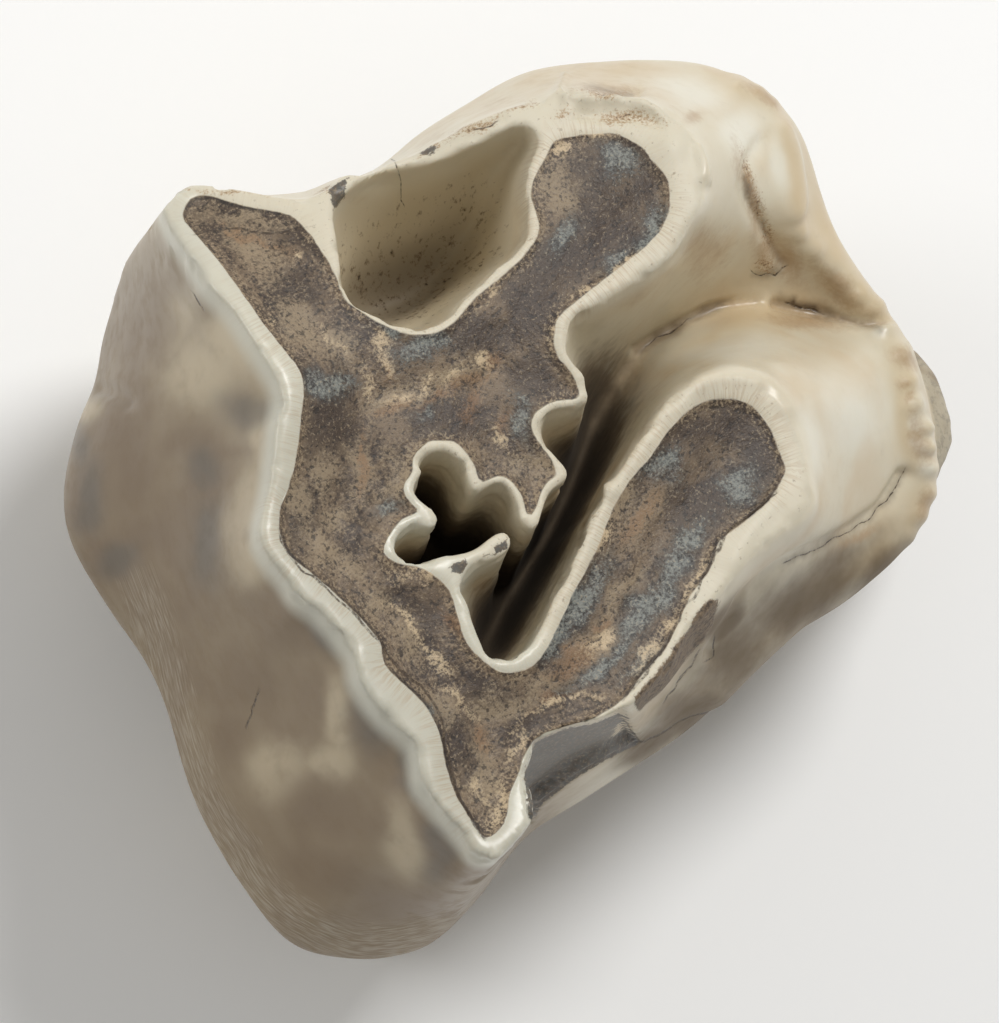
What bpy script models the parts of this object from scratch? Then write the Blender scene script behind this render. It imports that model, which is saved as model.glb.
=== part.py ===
"""Fossil upper premolar of a Stephanorhinus, one solid piece standing on its broken roots.

Frame: millimetres until the mesh is written, then metres. +X is the tongue side of the
tooth, +Y its rear (distal) side, +Z the chewing side. The origin is the middle of the
tooth's plan on the plane that the three broken root ends stand on.

The outlines of the worn crown were traced by eye as points on the reference picture. Each
point is carried along its sight line to the level of the tooth that it lies on, so the
outlines are real sizes here and the traced picture is only a drawing plane.
"""
import math

import bmesh
import bpy
import numpy as np
from mathutils import Matrix

# Sizes of the tooth, in millimetres
NECK_HEIGHT = 8.8
ARCH_HEIGHT = 10.4
ENAMEL_LIP = 0.45
ROOT_CUT = 0.0
METRE = 0.001

# The drawing plane: the reference picture, seen along a line tilted from the tooth's axis
PICTURE_WIDTH = 999
PICTURE_HEIGHT = 1023
PLANE_HEIGHT = 51.15
SIGHT_TILT = math.radians(15)
SIGHT_DISTANCE = 994.6
SIGHT_TOWARD = (-0.903, -0.430)
PICTURE_RIGHT = (0.886, -0.463)
SIGHT_TARGET = (-5.9, -3.27, 30.0)

# How finely the surface is built, in millimetres, and how many triangles are kept
GRID_STEP = 0.25
VOXEL = 0.42
TRIANGLES = 9600
# Grid points this close to a sheer rim are moved onto it
RIM_REACH = 0.5 * GRID_STEP
GIRTH_REACH = 3 * GRID_STEP

# Heights of the worn face: picture x, picture y, height
WEAR_LEVELS = [
    (165, 210, 30.5), (230, 200, 30.5), (300, 205, 31.0), (205, 262, 32.8), (250, 330, 34.6),
    (284, 400, 35.3), (275, 460, 35.2), (262, 530, 35.3), (300, 596, 35.0), (356, 655, 34.4),
    (418, 755, 33.6), (480, 845, 32.8), (526, 830, 32.4), (535, 745, 31.6), (420, 680, 33.4),
    (330, 290, 33.2), (365, 174, 29.8), (400, 160, 28.4), (450, 143, 28.6), (500, 115, 29.2),
    (430, 340, 33.0), (350, 440, 34.0), (480, 400, 32.4), (540, 240, 31.2), (620, 190, 30.4),
    (700, 190, 30.2), (600, 95, 28.8), (660, 110, 29.0), (560, 300, 31.6), (560, 440, 31.4),
    (400, 500, 33.3), (500, 690, 32.4), (570, 620, 31.3), (640, 680, 30.8), (640, 520, 30.4),
    (720, 460, 29.3), (745, 379, 28.6), (800, 450, 28.0), (790, 525, 28.6), (700, 610, 30.0),
]

# Outline of the worn face, counterclockwise from the rear cheek corner
CHEEK_EDGE = [
    (163, 208), (176, 235), (195, 262), (210, 285), (235, 310), (255, 340), (268, 360),
    (280, 380), (284, 400), (278, 430), (275, 460), (270, 490), (262, 520), (262, 540),
    (271, 557), (287, 576), (300, 596), (320, 609), (343, 635), (356, 655), (362, 681),
    (385, 713), (415, 740), (421, 759), (425, 785), (451, 818), (467, 838), (477, 855),
    (497, 858), (515, 848), (526, 836), (533, 822), (534, 800), (533, 789), (523, 776),
]
FRONT_EDGE = [
    (530, 757), (535, 740), (550, 732), (564, 727), (597, 720), (626, 707), (640, 697),
    (655, 680), (672, 660), (682, 640), (690, 625), (708, 609), (734, 576), (754, 553),
    (783, 530), (803, 515), (812, 500),
]
FRONT_TONGUE_CUSP = [
    (808, 478), (803, 458), (797, 435), (785, 412), (768, 392), (745, 379), (720, 378),
    (700, 383), (685, 391), (665, 408), (650, 428), (635, 450), (622, 470), (611, 487),
]
MIDDLE_VALLEY_FRONT = [
    (603, 498), (594, 512), (587, 530), (580, 548), (572, 565), (563, 582), (555, 598),
    (547, 618), (538, 635), (530, 647), (516, 656), (503, 658), (492, 655), (483, 645),
    (476, 632), (471, 618), (468, 606), (462, 595), (458, 585),
]
SPUR = [
    (464, 576), (471, 569), (480, 562), (494, 557), (507, 550), (511, 541), (509, 534),
    (500, 532), (490, 539), (480, 547), (465, 553), (445, 556),
]
INNER_LOOP = [
    (430, 560), (412, 561), (402, 558), (396, 553), (394, 545), (405, 531), (415, 525),
    (430, 527), (437, 522), (437, 515), (430, 508), (420, 500), (413, 490), (414, 482),
    (422, 472), (420, 465), (422, 457), (430, 451), (440, 449), (450, 451), (460, 460),
    (466, 470), (470, 485), (476, 492), (485, 487), (495, 482), (505, 484), (514, 497),
    (519, 515),
]
MIDDLE_VALLEY_REAR = [
    (530, 529), (538, 525), (541, 515), (546, 500), (552, 488), (567, 479), (567, 470),
    (560, 460), (547, 445), (541, 428), (543, 418), (550, 411), (560, 406), (580, 405),
    (589, 398), (586, 387), (584, 374), (577, 367), (566, 352), (566, 340), (569, 322),
    (575, 315),
]
REAR_TONGUE_CUSP = [
    (600, 300), (640, 278), (660, 265), (675, 250), (683, 235), (690, 222), (698, 210),
    (703, 195), (702, 180), (704, 165), (700, 150), (690, 136), (678, 122), (660, 108),
    (630, 99), (600, 92), (575, 88),
]
REAR_EDGE = [
    (558, 92), (540, 101), (520, 106), (500, 112), (470, 124), (445, 138), (425, 147),
    (405, 158), (390, 164), (366, 175), (347, 174), (331, 187), (316, 196), (300, 200),
    (270, 196), (240, 190), (212, 185), (188, 184), (170, 195),
]
# The stretches of that outline, each with how rounded its shoulder is, from 0 to 1
WORN_FACE = [
    (CHEEK_EDGE, 0.0), (FRONT_EDGE, 0.3), (FRONT_TONGUE_CUSP, 1.0), (MIDDLE_VALLEY_FRONT, 0.0),
    (SPUR, 0.0), (INNER_LOOP, 0.0), (MIDDLE_VALLEY_REAR, 0.0), (REAR_TONGUE_CUSP, 0.8),
    (REAR_EDGE, 0.0),
]

# Dark dentine inside the enamel, same order
DENTINE = [
    (183, 213), (198, 235), (215, 255), (232, 278), (250, 303), (268, 328), (295, 362),
    (304, 385), (301, 420), (297, 455), (290, 485), (283, 500), (280, 515), (281, 532),
    (290, 555), (313, 573), (346, 602), (379, 638), (385, 664), (408, 687), (428, 707),
    (441, 736), (447, 766), (457, 795), (473, 821), (487, 837), (505, 822), (510, 795),
    (518, 775), (527, 750), (545, 732), (597, 716), (628, 694), (643, 674), (666, 648),
    (679, 622), (692, 593), (708, 573), (713, 560), (721, 540), (741, 524), (765, 505),
    (776, 490), (786, 470), (780, 451), (767, 421), (747, 402), (724, 398), (700, 403),
    (680, 418), (665, 435), (650, 457), (630, 480), (612, 512), (596, 552), (576, 588),
    (560, 622), (545, 652), (530, 667), (512, 672), (495, 668), (475, 652), (464, 635),
    (458, 615), (450, 590), (437, 577), (420, 566), (400, 563), (388, 556), (384, 548),
    (390, 534), (402, 519), (418, 510), (408, 498), (404, 485), (413, 470), (414, 455),
    (428, 441), (440, 440), (455, 441), (465, 450), (475, 465), (481, 481), (495, 476),
    (508, 477), (522, 494), (528, 515), (536, 508), (540, 495), (548, 481), (557, 474),
    (552, 458), (538, 440), (532, 424), (536, 412), (555, 400), (580, 396), (572, 372),
    (560, 358), (555, 345), (556, 330), (560, 315), (595, 286), (622, 265), (645, 246),
    (662, 228), (670, 205), (668, 178), (652, 160), (645, 148), (620, 134), (600, 133),
    (575, 135), (556, 140), (546, 157), (535, 178), (532, 195), (539, 220), (538, 235),
    (522, 258), (500, 277), (475, 298), (458, 318), (440, 331), (420, 334), (400, 331),
    (380, 322), (352, 305), (342, 290), (335, 272), (322, 250), (306, 228), (290, 214),
    (245, 205), (200, 194),
]

# Rear pit, closed all round by enamel
REAR_PIT = [
    (333, 212), (338, 245), (342, 280), (350, 300), (360, 309), (385, 320), (400, 326),
    (420, 328), (435, 326), (445, 321), (455, 313), (465, 299), (478, 287), (490, 277),
    (500, 266), (512, 258), (522, 247), (530, 235), (530, 215), (528, 200), (528, 175),
    (533, 158), (540, 145), (535, 130), (520, 124), (505, 129), (480, 142), (460, 150),
    (445, 157), (430, 161), (415, 163), (400, 166), (382, 170), (363, 179), (345, 192),
]

# Lowest lines of the hollows: picture x, picture y, the height that point is traced at, and
# the height of the floor below it
VALLEY_LINE = [
    (508, 640, 31.5, 24.0), (513, 618, 31.5, 20.0), (530, 580, 31.5, 17.0),
    (549, 545, 31.5, 16.0), (568, 513, 31, 15.0), (590, 478, 31, 14.6), (610, 440, 31, 14.4),
    (628, 397, 31, 14.4), (645, 350, 30, 14.8), (668, 312, 30, 15.2), (650, 342, 15.6, 15.6),
    (690, 325, 16.2, 16.2), (735, 303, 16.6, 16.6), (780, 303, 15.8, 15.8),
    (815, 312, 15.4, 15.4), (850, 321, 16.0, 16.0), (885, 327, 15.6, 15.6),
    (903, 330, 14.8, 14.8),
]
LOOP_LINE = [
    (410, 546, 32.5, 23.0), (430, 543, 32.5, 21.0), (460, 528, 32.3, 19.5),
    (495, 512, 32, 19.0), (520, 536, 31.6, 17.5), (549, 545, 31.5, 16.0),
]
LOOP_LOBE_LINE = [(438, 461, 32.8, 23.0), (445, 480, 32.6, 20.5), (458, 512, 32.4, 19.6)]
REAR_PIT_LINE = [(380, 258, 32, 19.0), (405, 250, 32, 17.6), (445, 240, 32, 17.2),
                 (480, 215, 32, 18.0), (505, 175, 32, 20.5)]

# Widest line of the crown: picture x, picture y, height, width of the ledge above it
GIRTH = [
    (125, 262, 18, 0), (112, 308, 14, 0), (98, 345, 12, 0), (97, 378, 12, 0), (85, 402, 12, 0),
    (72, 434, 12, 0), (62, 475, 12, 0), (60, 511, 12, 0), (65, 534, 12, 0), (78, 563, 12, 0),
    (95, 589, 12, 0), (114, 619, 12, 0), (134, 645, 12, 0), (150, 671, 12, 0), (162, 700, 12, 0),
    (170, 727, 12, 0), (178, 759, 12, 0), (186, 785, 12, 0), (199, 818, 12, 0), (216, 847, 12, 0),
    (235, 877, 12, 0), (255, 906, 12, 0), (274, 932, 12, 0), (294, 949, 12, 0), (318, 957, 12, 0),
    (355, 961, 12, 0), (392, 960, 12, 0), (421, 950, 12, 0), (447, 932, 12, 0),
    (467, 911, 12, 0), (487, 887, 12, 0), (507, 860, 12, 0), (521, 841, 12, 0),
    (535, 828, 12, 0), (581, 803, 12, 0), (630, 772, 12, 0), (675, 744, 12, 0.2),
    (711, 715, 12, 0.4), (737, 689, 12, 0.6), (754, 671, 12, 0.8), (786, 642, 12, 1),
    (812, 625, 12, 1), (845, 606, 12, 1), (874, 583, 12, 1), (901, 557, 12, 1),
    (920, 531, 12, 1), (931, 505, 12.5, 1), (936, 470, 13, 1), (934, 421, 14, 1),
    (920, 366, 14, 1), (899, 327, 15, 1), (872, 288, 15, 1), (850, 254, 15.5, 1),
    (830, 215, 16, 1), (819, 178, 16.5, 1), (812, 150, 17, 1), (803, 130, 17, 1),
    (785, 109, 17.5, 1), (760, 87, 18, 1), (730, 70, 18, 0.8), (700, 59, 18, 0.6),
    (640, 57, 18, 0.3), (600, 60, 18, 0.2), (560, 64, 18, 0.1), (520, 71, 18, 0),
    (485, 90, 18, 0), (459, 107, 18, 0), (432, 123, 18, 0), (406, 140, 18, 0),
    (380, 168, 18, 0), (340, 184, 18, 0), (301, 198, 18, 0),
    (240, 197, 18, 0), (193, 204, 18, 0), (152, 233, 18, 0),
]

# Wall profiles: share of the way from the rim to the low line, and share of the height left
CHEEK_WALL = [(0, 1), (0.08, 0.93), (0.3, 0.72), (0.55, 0.47), (0.78, 0.26), (0.92, 0.12), (1, 0)]
LEDGE_WALL = [(0, 1), (0.1, 0.95), (0.3, 0.76), (0.5, 0.52), (0.68, 0.30), (0.82, 0.19),
              (0.93, 0.14), (1, 0)]
SHEER_WALL = [(0, 1), (0.08, 0.88), (0.5, 0.42), (0.85, 0.08), (1, 0)]
SLOPING_WALL = [(0, 1), (0.12, 0.95), (0.3, 0.80), (0.55, 0.48), (0.8, 0.17), (0.95, 0.02), (1, 0)]
PIT_WALL = [(0, 1), (0.06, 0.88), (0.4, 0.46), (0.7, 0.16), (0.88, 0.03), (1, 0)]

# Ledge of the tongue side and the row of enamel beads on it: x, y, radius in picture units
BEADS = [
    (736, 92, 10), (755, 98, 9), (778, 143, 12), (783, 165, 13), (784, 187, 13), (786, 212, 11),
    (793, 230, 10), (810, 246, 11), (826, 262, 9), (841, 279, 9), (855, 296, 10), (872, 308, 10),
    (880, 333, 9), (896, 358, 10), (903, 384, 9), (907, 410, 10), (919, 431, 10), (920, 447, 9),
    (923, 467, 9),
]
LEDGE_GROOVES = [
    [(762, 140), (748, 172), (745, 190), (758, 215), (772, 240), (790, 262)],
    [(903, 474), (890, 497), (878, 514), (845, 534), (826, 544), (793, 560), (777, 570),
     (747, 596), (734, 619), (711, 655)],
]
BROKEN_FRONT = [(523, 775), (535, 742), (564, 729), (597, 722), (626, 709), (639, 743),
                (607, 759), (574, 779), (541, 805), (532, 824)]

# Crest of the ledge, from the rear corner round the tongue side and along the front
LEDGE_CREST = [
    (736, 92), (762, 112), (780, 150), (785, 190), (793, 230), (826, 262), (855, 296),
    (882, 330), (898, 360), (910, 410), (920, 450), (921, 485), (906, 520), (880, 552),
    (845, 578), (805, 603), (775, 632), (745, 662), (715, 693),
]
LEDGE_RISE = 0.55
BEAD_RISE = 0.5
GROOVE_DEPTH = 0.7
CHIP_DEPTH = 0.8
# The heights between which that relief comes in
RELIEF_FADE = (12.0, 13.5)

# Broken roots: plan outlines at their cut ends, x and y in millimetres
ROOTS = [
    [(14.8, -8.8), (16.4, -4.2), (15.6, 0.8), (16.4, 5.2), (14.2, 9.6), (11.0, 11.6),
     (8.0, 8.8), (8.9, 3.4), (7.5, -1.6), (7.5, -6.6), (10.4, -9.9)],
    [(-9.4, 14.4), (-5.0, 12.8), (-0.2, 13.8), (2.4, 11.2), (0.2, 6.6), (-5.0, 5.8),
     (-9.5, 4.8), (-15.4, 5.8), (-16.4, 9.2), (-13.2, 12.6)],
    [(-17.8, -6.0), (-13.6, -4.4), (-8.2, -6.0), (-3.6, -7.2), (-3.2, -11.6), (-7.4, -13.0),
     (-11.3, -15.0), (-16.0, -14.4), (-18.0, -10.6)],
]
ROOT_STEEPNESS = 2.6
ROOT_OVERCUT = 0.8
ROOT_FILLET = 4.0
NECK_INSET = 2.8

# The splayed part of the tongue root: height, x, y, half width, half length of its ovals
TONGUE_SWELL = [
    (-1.0, 12.8, -4.2, 4.4, 5.4), (2.0, 14.9, -4.6, 5.1, 6.0), (5.0, 16.2, -5.0, 5.8, 6.5),
    (8.0, 16.8, -5.0, 6.0, 6.5), (10.5, 16.5, -5.0, 5.9, 6.3), (12.5, 15.4, -4.7, 5.3, 5.5),
    (14.4, 13.4, -4.4, 3.8, 4.0),
]
SWELL_SIDES = 36


def sight_axes():
    """The unit vectors towards the eye, to the picture's right and to its top."""
    toward = np.array([SIGHT_TOWARD[0] * math.sin(SIGHT_TILT),
                       SIGHT_TOWARD[1] * math.sin(SIGHT_TILT), math.cos(SIGHT_TILT)])
    toward /= np.linalg.norm(toward)
    right = np.array([PICTURE_RIGHT[0], PICTURE_RIGHT[1], 0.0])
    right -= right.dot(toward) * toward
    right /= np.linalg.norm(right)
    return toward, right, np.cross(toward, right)


TOWARD, RIGHT, UPWARD = sight_axes()
EYE = np.array(SIGHT_TARGET) + TOWARD * SIGHT_DISTANCE
UNIT = PLANE_HEIGHT / PICTURE_HEIGHT


def plan_points(pixels, heights):
    """Where the sight lines through picture points reach the given heights."""
    pixels = np.asarray(pixels, float)
    across = (pixels[:, 0] - PICTURE_WIDTH / 2) * UNIT
    along = (PICTURE_HEIGHT / 2 - pixels[:, 1]) * UNIT
    rays = np.outer(across, RIGHT) + np.outer(along, UPWARD) - SIGHT_DISTANCE * TOWARD
    reach = (heights - EYE[2]) / rays[:, 2]
    return EYE[:2] + rays[:, :2] * reach[:, None]


def picture_points(places):
    """The picture points at which places on the tooth are seen."""
    offset = places - EYE
    depth = -offset @ TOWARD
    across = offset @ RIGHT * SIGHT_DISTANCE / depth
    along = offset @ UPWARD * SIGHT_DISTANCE / depth
    return np.stack([across / UNIT + PICTURE_WIDTH / 2, PICTURE_HEIGHT / 2 - along / UNIT], 1)


def rounded(points, closed=True, pieces=3):
    """A smooth line through traced points: each stretch becomes a few short ones."""
    points = np.asarray(points, float)
    count = len(points)
    result = []
    for index in range(count if closed else count - 1):
        if closed:
            before, start, end, after = (points[(index + k) % count] for k in (-1, 0, 1, 2))
        else:
            before, start, end, after = (points[min(max(index + k, 0), count - 1)]
                                         for k in (-1, 0, 1, 2))
        for step in range(pieces):
            t = step / pieces
            result.append(0.5 * (2 * start + (end - before) * t
                                 + (2 * before - 5 * start + 4 * end - after) * t * t
                                 + (3 * start - before - 3 * end + after) * t ** 3))
    if not closed:
        result.append(points[-1])
    return np.array(result)


def nearest(places, line, closed=True):
    """Distance from each place to a line, and the line's other columns at that point."""
    best = np.full(len(places), np.inf)
    extra = np.zeros((len(places), line.shape[1] - 2))
    ends = np.roll(line, -1, axis=0) if closed else line[1:]
    for start, end in zip(line[:len(ends)], ends):
        span = end[:2] - start[:2]
        offset = places - start[:2]
        share = np.clip(offset @ span / max(span @ span, 1e-12), 0, 1)
        square = ((offset - share[:, None] * span) ** 2).sum(1)
        closer = square < best
        best[closer] = square[closer]
        if extra.shape[1]:
            extra[closer] = start[2:] + share[closer, None] * (end[2:] - start[2:])
    return np.sqrt(best), extra


def within(places, loop):
    """Whether each place is inside a closed outline."""
    inside = np.zeros(len(places), bool)
    x, y = places[:, 0], places[:, 1]
    for (x1, y1), (x2, y2) in zip(loop[:, :2], np.roll(loop[:, :2], -1, axis=0)):
        crosses = (y1 > y) != (y2 > y)
        if crosses.any():
            inside[crosses] ^= x[crosses] < (x2 - x1) * (y[crosses] - y1) / (y2 - y1) + x1
    return inside


def signed_distance(places, loop):
    """Distance to a closed outline, positive inside it."""
    distance = nearest(places, loop[:, :2])[0]
    return np.where(within(places, loop), distance, -distance)


def soft_step(value, start, end):
    """A smooth step from 0 at start to 1 at end."""
    share = np.clip((value - start) / (end - start), 0, 1)
    return share * share * (3 - 2 * share)


def soft_low(first, second, width):
    """The lower of two heights, with the crease between them rounded."""
    blend = np.clip(0.5 + 0.5 * (second - first) / width, 0, 1)
    return second + (first - second) * blend - width * blend * (1 - blend)


def profile(share, knots):
    """A flank profile, read as a smooth curve through its knots."""
    fine = np.linspace(0, 1, 401)
    curve = np.interp(fine, [k[0] for k in knots], [k[1] for k in knots])
    window = np.hanning(41)
    padded = np.concatenate([2 * curve[0] - curve[20:0:-1], curve, 2 * curve[-1] - curve[-2:-22:-1]])
    return np.interp(share, fine, np.convolve(padded, window / window.sum(), "valid"))


def thin_plate(points, values):
    """A smooth sheet through scattered heights, as a function of plan places."""
    def bend(square):
        return 0.5 * square * np.log(square + 1e-9)
    count = len(points)
    table = np.zeros((count + 3, count + 3))
    table[:count, :count] = bend(((points[:, None] - points[None]) ** 2).sum(2))
    table[:count, count] = 1
    table[:count, count + 1:] = points
    table[count:, :count] = table[:count, count:].T
    weights = np.linalg.solve(table, np.concatenate([values, np.zeros(3)]))

    def sheet(places):
        total = weights[count] + places @ weights[count + 1:]
        for point, weight in zip(points, weights[:count]):
            total = total + weight * bend(((places - point) ** 2).sum(1))
        return total
    return sheet


def wear_sheet():
    """The worn face's height over the plan."""
    levels = np.array(WEAR_LEVELS, float)
    return thin_plate(plan_points(levels[:, :2], levels[:, 2]), levels[:, 2])


def on_sheet(pixels, sheet, start=32.0):
    """Traced points carried to a sheet: plan x, plan y and height."""
    heights = np.full(len(pixels), start)
    for _ in range(6):
        places = plan_points(pixels, heights)
        heights = sheet(places)
    return np.column_stack([places, heights])


def floor_line(points):
    """A hollow's lowest line in plan: x, y and floor height."""
    line = rounded(points, closed=False)
    return np.column_stack([plan_points(line[:, :2], line[:, 2]), line[:, 3]])


class Crown:
    """The traced outlines of the crown in plan, ready for measuring distances to them."""

    def __init__(self):
        self.wear = wear_sheet()
        outline = rounded([(x, y, soft) for piece, soft in WORN_FACE for x, y in piece])
        self.face = np.column_stack([on_sheet(outline[:, :2], self.wear), outline[:, 2]])
        self.dentine = on_sheet(rounded(DENTINE), self.wear)
        self.rear_pit = on_sheet(rounded(REAR_PIT), self.wear)
        girth = rounded(GIRTH)
        self.girth = np.column_stack([plan_points(girth[:, :2], girth[:, 2]), girth[:, 2:]])
        self.hollows = [floor_line(line) for line in (VALLEY_LINE, LOOP_LINE, LOOP_LOBE_LINE)]
        self.rear_pit_floor = floor_line(REAR_PIT_LINE)

    def top(self, places):
        """The height of the upper surface over plan places inside the girth."""
        on_face = within(places, self.face)
        height = self.wear(places)
        height -= ENAMEL_LIP * soft_step(signed_distance(places, self.dentine), -0.05, 0.9)
        height[~on_face] = self.walls(places[~on_face])
        return self.rear_pit_cut(places, height)

    def walls(self, places):
        """Everything between the rim of the worn face and the girth or a valley floor."""
        rim_gap, rim = nearest(places, self.face)
        girth_gap, girth = nearest(places, self.girth)
        floor_gap = np.full(len(places), np.inf)
        floor = np.zeros(len(places))
        for line in self.hollows:
            gap, level = nearest(places, line, closed=False)
            closer = gap < floor_gap
            floor_gap[closer] = gap[closer]
            floor[closer] = level[closer, 0]
        hollow = soft_step(girth_gap - floor_gap, -1.2, 1.2)
        low = girth[:, 0] + (floor - girth[:, 0]) * hollow
        low_gap = np.minimum(girth_gap, floor_gap)
        share = rim_gap / np.maximum(rim_gap + low_gap, 1e-6)
        soft, ledge = rim[:, 1], girth[:, 1]
        outer = profile(share, CHEEK_WALL) * (1 - ledge) + profile(share, LEDGE_WALL) * ledge
        inner = profile(share, SHEER_WALL) * (1 - soft) + profile(share, SLOPING_WALL) * soft
        return low + (rim[:, 0] - low) * (outer * (1 - hollow) + inner * hollow)

    def rear_pit_cut(self, places, height):
        """Cuts the closed pit at the rear of the worn face."""
        inside = within(places, self.rear_pit)
        if inside.any():
            inner = places[inside]
            rim_gap, rim = nearest(inner, self.rear_pit)
            floor_gap, floor = nearest(inner, self.rear_pit_floor, closed=False)
            share = rim_gap / np.maximum(rim_gap + floor_gap, 1e-6)
            height[inside] = floor[:, 0] + (rim[:, 0] - floor[:, 0]) * profile(share, PIT_WALL)
        return height


def underside(places, crown):
    """The height of the lower surface: neck, root walls and the arches between the roots."""
    gap, girth = nearest(places, crown.girth)
    tuck = np.sqrt(np.clip(1 - (1 - np.clip(gap / NECK_INSET, 0, 1)) ** 2, 0, 1))
    neck = girth[:, 0] - (girth[:, 0] - NECK_HEIGHT) * tuck
    ceiling = neck + (ARCH_HEIGHT - NECK_HEIGHT) * soft_step(gap, 2, 12)
    roots = np.full(len(places), np.inf)
    for outline in ROOTS:
        outside = np.maximum(-signed_distance(places, rounded(outline)), 0)
        roots = np.minimum(roots, ROOT_STEEPNESS * outside ** 1.3 - ROOT_OVERCUT)
    return soft_low(ceiling, roots, ROOT_FILLET)


def crown_sheets(crown):
    """Two sheets of a square grid, over and under, joined all along the girth."""
    low = crown.girth[:, :2].min(0) - GRID_STEP
    high = crown.girth[:, :2].max(0) + GRID_STEP
    columns, rows = (int(math.ceil(span / GRID_STEP)) + 1 for span in high - low)
    x, y = np.meshgrid(low[0] + np.arange(columns) * GRID_STEP, low[1] + np.arange(rows) * GRID_STEP)
    places = np.column_stack([x.ravel(), y.ravel()])
    inside = within(places, crown.girth).reshape(rows, columns)
    cells = inside[:-1, :-1] & inside[1:, :-1] & inside[:-1, 1:] & inside[1:, 1:]
    around = np.zeros((rows + 1, columns + 1), bool)
    around[1:-1, 1:-1] = cells
    touched = around[:-1, :-1] | around[1:, :-1] | around[:-1, 1:] | around[1:, 1:]
    whole = around[:-1, :-1] & around[1:, :-1] & around[:-1, 1:] & around[1:, 1:]
    used = touched.ravel()
    rim = (touched & ~whole).ravel()[used]
    count = int(used.sum())
    chosen = places[used]
    for sheer_rim in (crown.face, crown.rear_pit):
        chosen = onto_line(chosen, sheer_rim, RIM_REACH)
    chosen[rim] = onto_line(chosen[rim], crown.girth, GIRTH_REACH)
    top = crown.top(chosen)
    bottom = underside(chosen, crown)
    girth_height = nearest(chosen, crown.girth)[1][:, 0]
    top = np.where(rim, girth_height, np.maximum(top, bottom + 0.5))
    vertices = np.vstack([np.column_stack([chosen, top]), np.column_stack([chosen, bottom])])
    upper = np.full(len(places), -1)
    upper[used] = np.arange(count)
    lower = np.full(len(places), -1)
    lower[used] = np.where(rim, 0, count) + np.arange(count)
    row, column = np.nonzero(cells)
    corner = row * columns + column
    ring = np.column_stack([corner, corner + 1, corner + columns + 1, corner + columns])
    return vertices, np.vstack([upper[ring], lower[ring[:, ::-1]]])


def onto_line(places, loop, reach):
    """Moves places within reach of a closed outline onto its nearest point."""
    gap, foot = nearest(places, np.column_stack([loop[:, :2], loop[:, :2]]))
    return np.where((gap < reach)[:, None], foot, places)


def root_swell():
    """The splayed tongue root: a closed pile of ovals that runs up into the crown."""
    turn = np.linspace(0, 2 * math.pi, SWELL_SIDES, endpoint=False)
    rings = []
    for level, x, y, half_width, half_length in TONGUE_SWELL:
        wave = 1 + 0.05 * np.cos(3 * turn + 0.6)
        rings.append(np.column_stack([x + half_width * wave * np.cos(turn),
                                      y + half_length * wave * np.sin(turn),
                                      np.full(SWELL_SIDES, level)]))
    vertices = np.vstack(rings)
    faces = [list(range(SWELL_SIDES))[::-1]]
    for level in range(len(rings) - 1):
        for side in range(SWELL_SIDES):
            after = (side + 1) % SWELL_SIDES
            start = level * SWELL_SIDES
            faces.append([start + side, start + after, start + SWELL_SIDES + after,
                          start + SWELL_SIDES + side])
    faces.append([(len(rings) - 1) * SWELL_SIDES + side for side in range(SWELL_SIDES)])
    return vertices, faces


def rough_tooth(name):
    """The crown's two sheets and the root swell in one mesh, still overlapping."""
    crown_vertices, crown_faces = crown_sheets(Crown())
    swell_vertices, swell_faces = root_swell()
    start = len(crown_vertices)
    vertices = np.vstack([crown_vertices, swell_vertices]) * METRE
    faces = crown_faces.tolist() + [[start + corner for corner in face] for face in swell_faces]
    mesh = bpy.data.meshes.new(name)
    mesh.from_pydata(vertices.tolist(), [], faces)
    thing = bpy.data.objects.new(name, mesh)
    bpy.context.collection.objects.link(thing)
    shape = bmesh.new()
    shape.from_mesh(mesh)
    loose = [vertex for vertex in shape.verts if not vertex.link_faces]
    bmesh.ops.delete(shape, geom=loose, context="VERTS")
    shape.to_mesh(mesh)
    shape.free()
    return thing


def relief(seen):
    """How far the surface stands out at picture points, in millimetres."""
    away, _ = nearest(seen, rounded(LEDGE_CREST, closed=False), closed=False)
    rise = LEDGE_RISE * np.exp(-(away / 15) ** 2)
    for x, y, radius in BEADS:
        square = ((seen[:, 0] - x) ** 2 + (seen[:, 1] - y) ** 2) / radius ** 2
        rise += BEAD_RISE * np.exp(-1.2 * square)
    for line in LEDGE_GROOVES:
        away, _ = nearest(seen, rounded(line, closed=False), closed=False)
        rise -= GROOVE_DEPTH * np.exp(-(away / 10) ** 2)
    broken = signed_distance(seen, np.array(BROKEN_FRONT, float))
    return rise - CHIP_DEPTH * soft_step(broken, -2, 6)


def carve_relief(thing):
    """Moves the skin along its normals by the relief traced on the picture."""
    mesh = thing.data
    places = np.empty(len(mesh.vertices) * 3)
    mesh.vertices.foreach_get("co", places)
    places = places.reshape(-1, 3) / METRE
    normals = np.empty(len(mesh.vertices) * 3)
    mesh.vertex_normals.foreach_get("vector", normals)
    normals = normals.reshape(-1, 3)
    seen = soft_step(normals @ TOWARD, 0.0, 0.2) * soft_step(places[:, 2], *RELIEF_FADE)
    places += normals * (relief(picture_points(places)) * seen)[:, None]
    mesh.vertices.foreach_set("co", (places * METRE).ravel())
    mesh.update()


def apply_modifiers(thing):
    """Replaces the object's mesh by its evaluated one."""
    evaluated = thing.evaluated_get(bpy.context.evaluated_depsgraph_get())
    mesh = bpy.data.meshes.new_from_object(evaluated)
    old = thing.data
    thing.modifiers.clear()
    thing.data = mesh
    bpy.data.meshes.remove(old)
    mesh.name = thing.name


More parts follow.
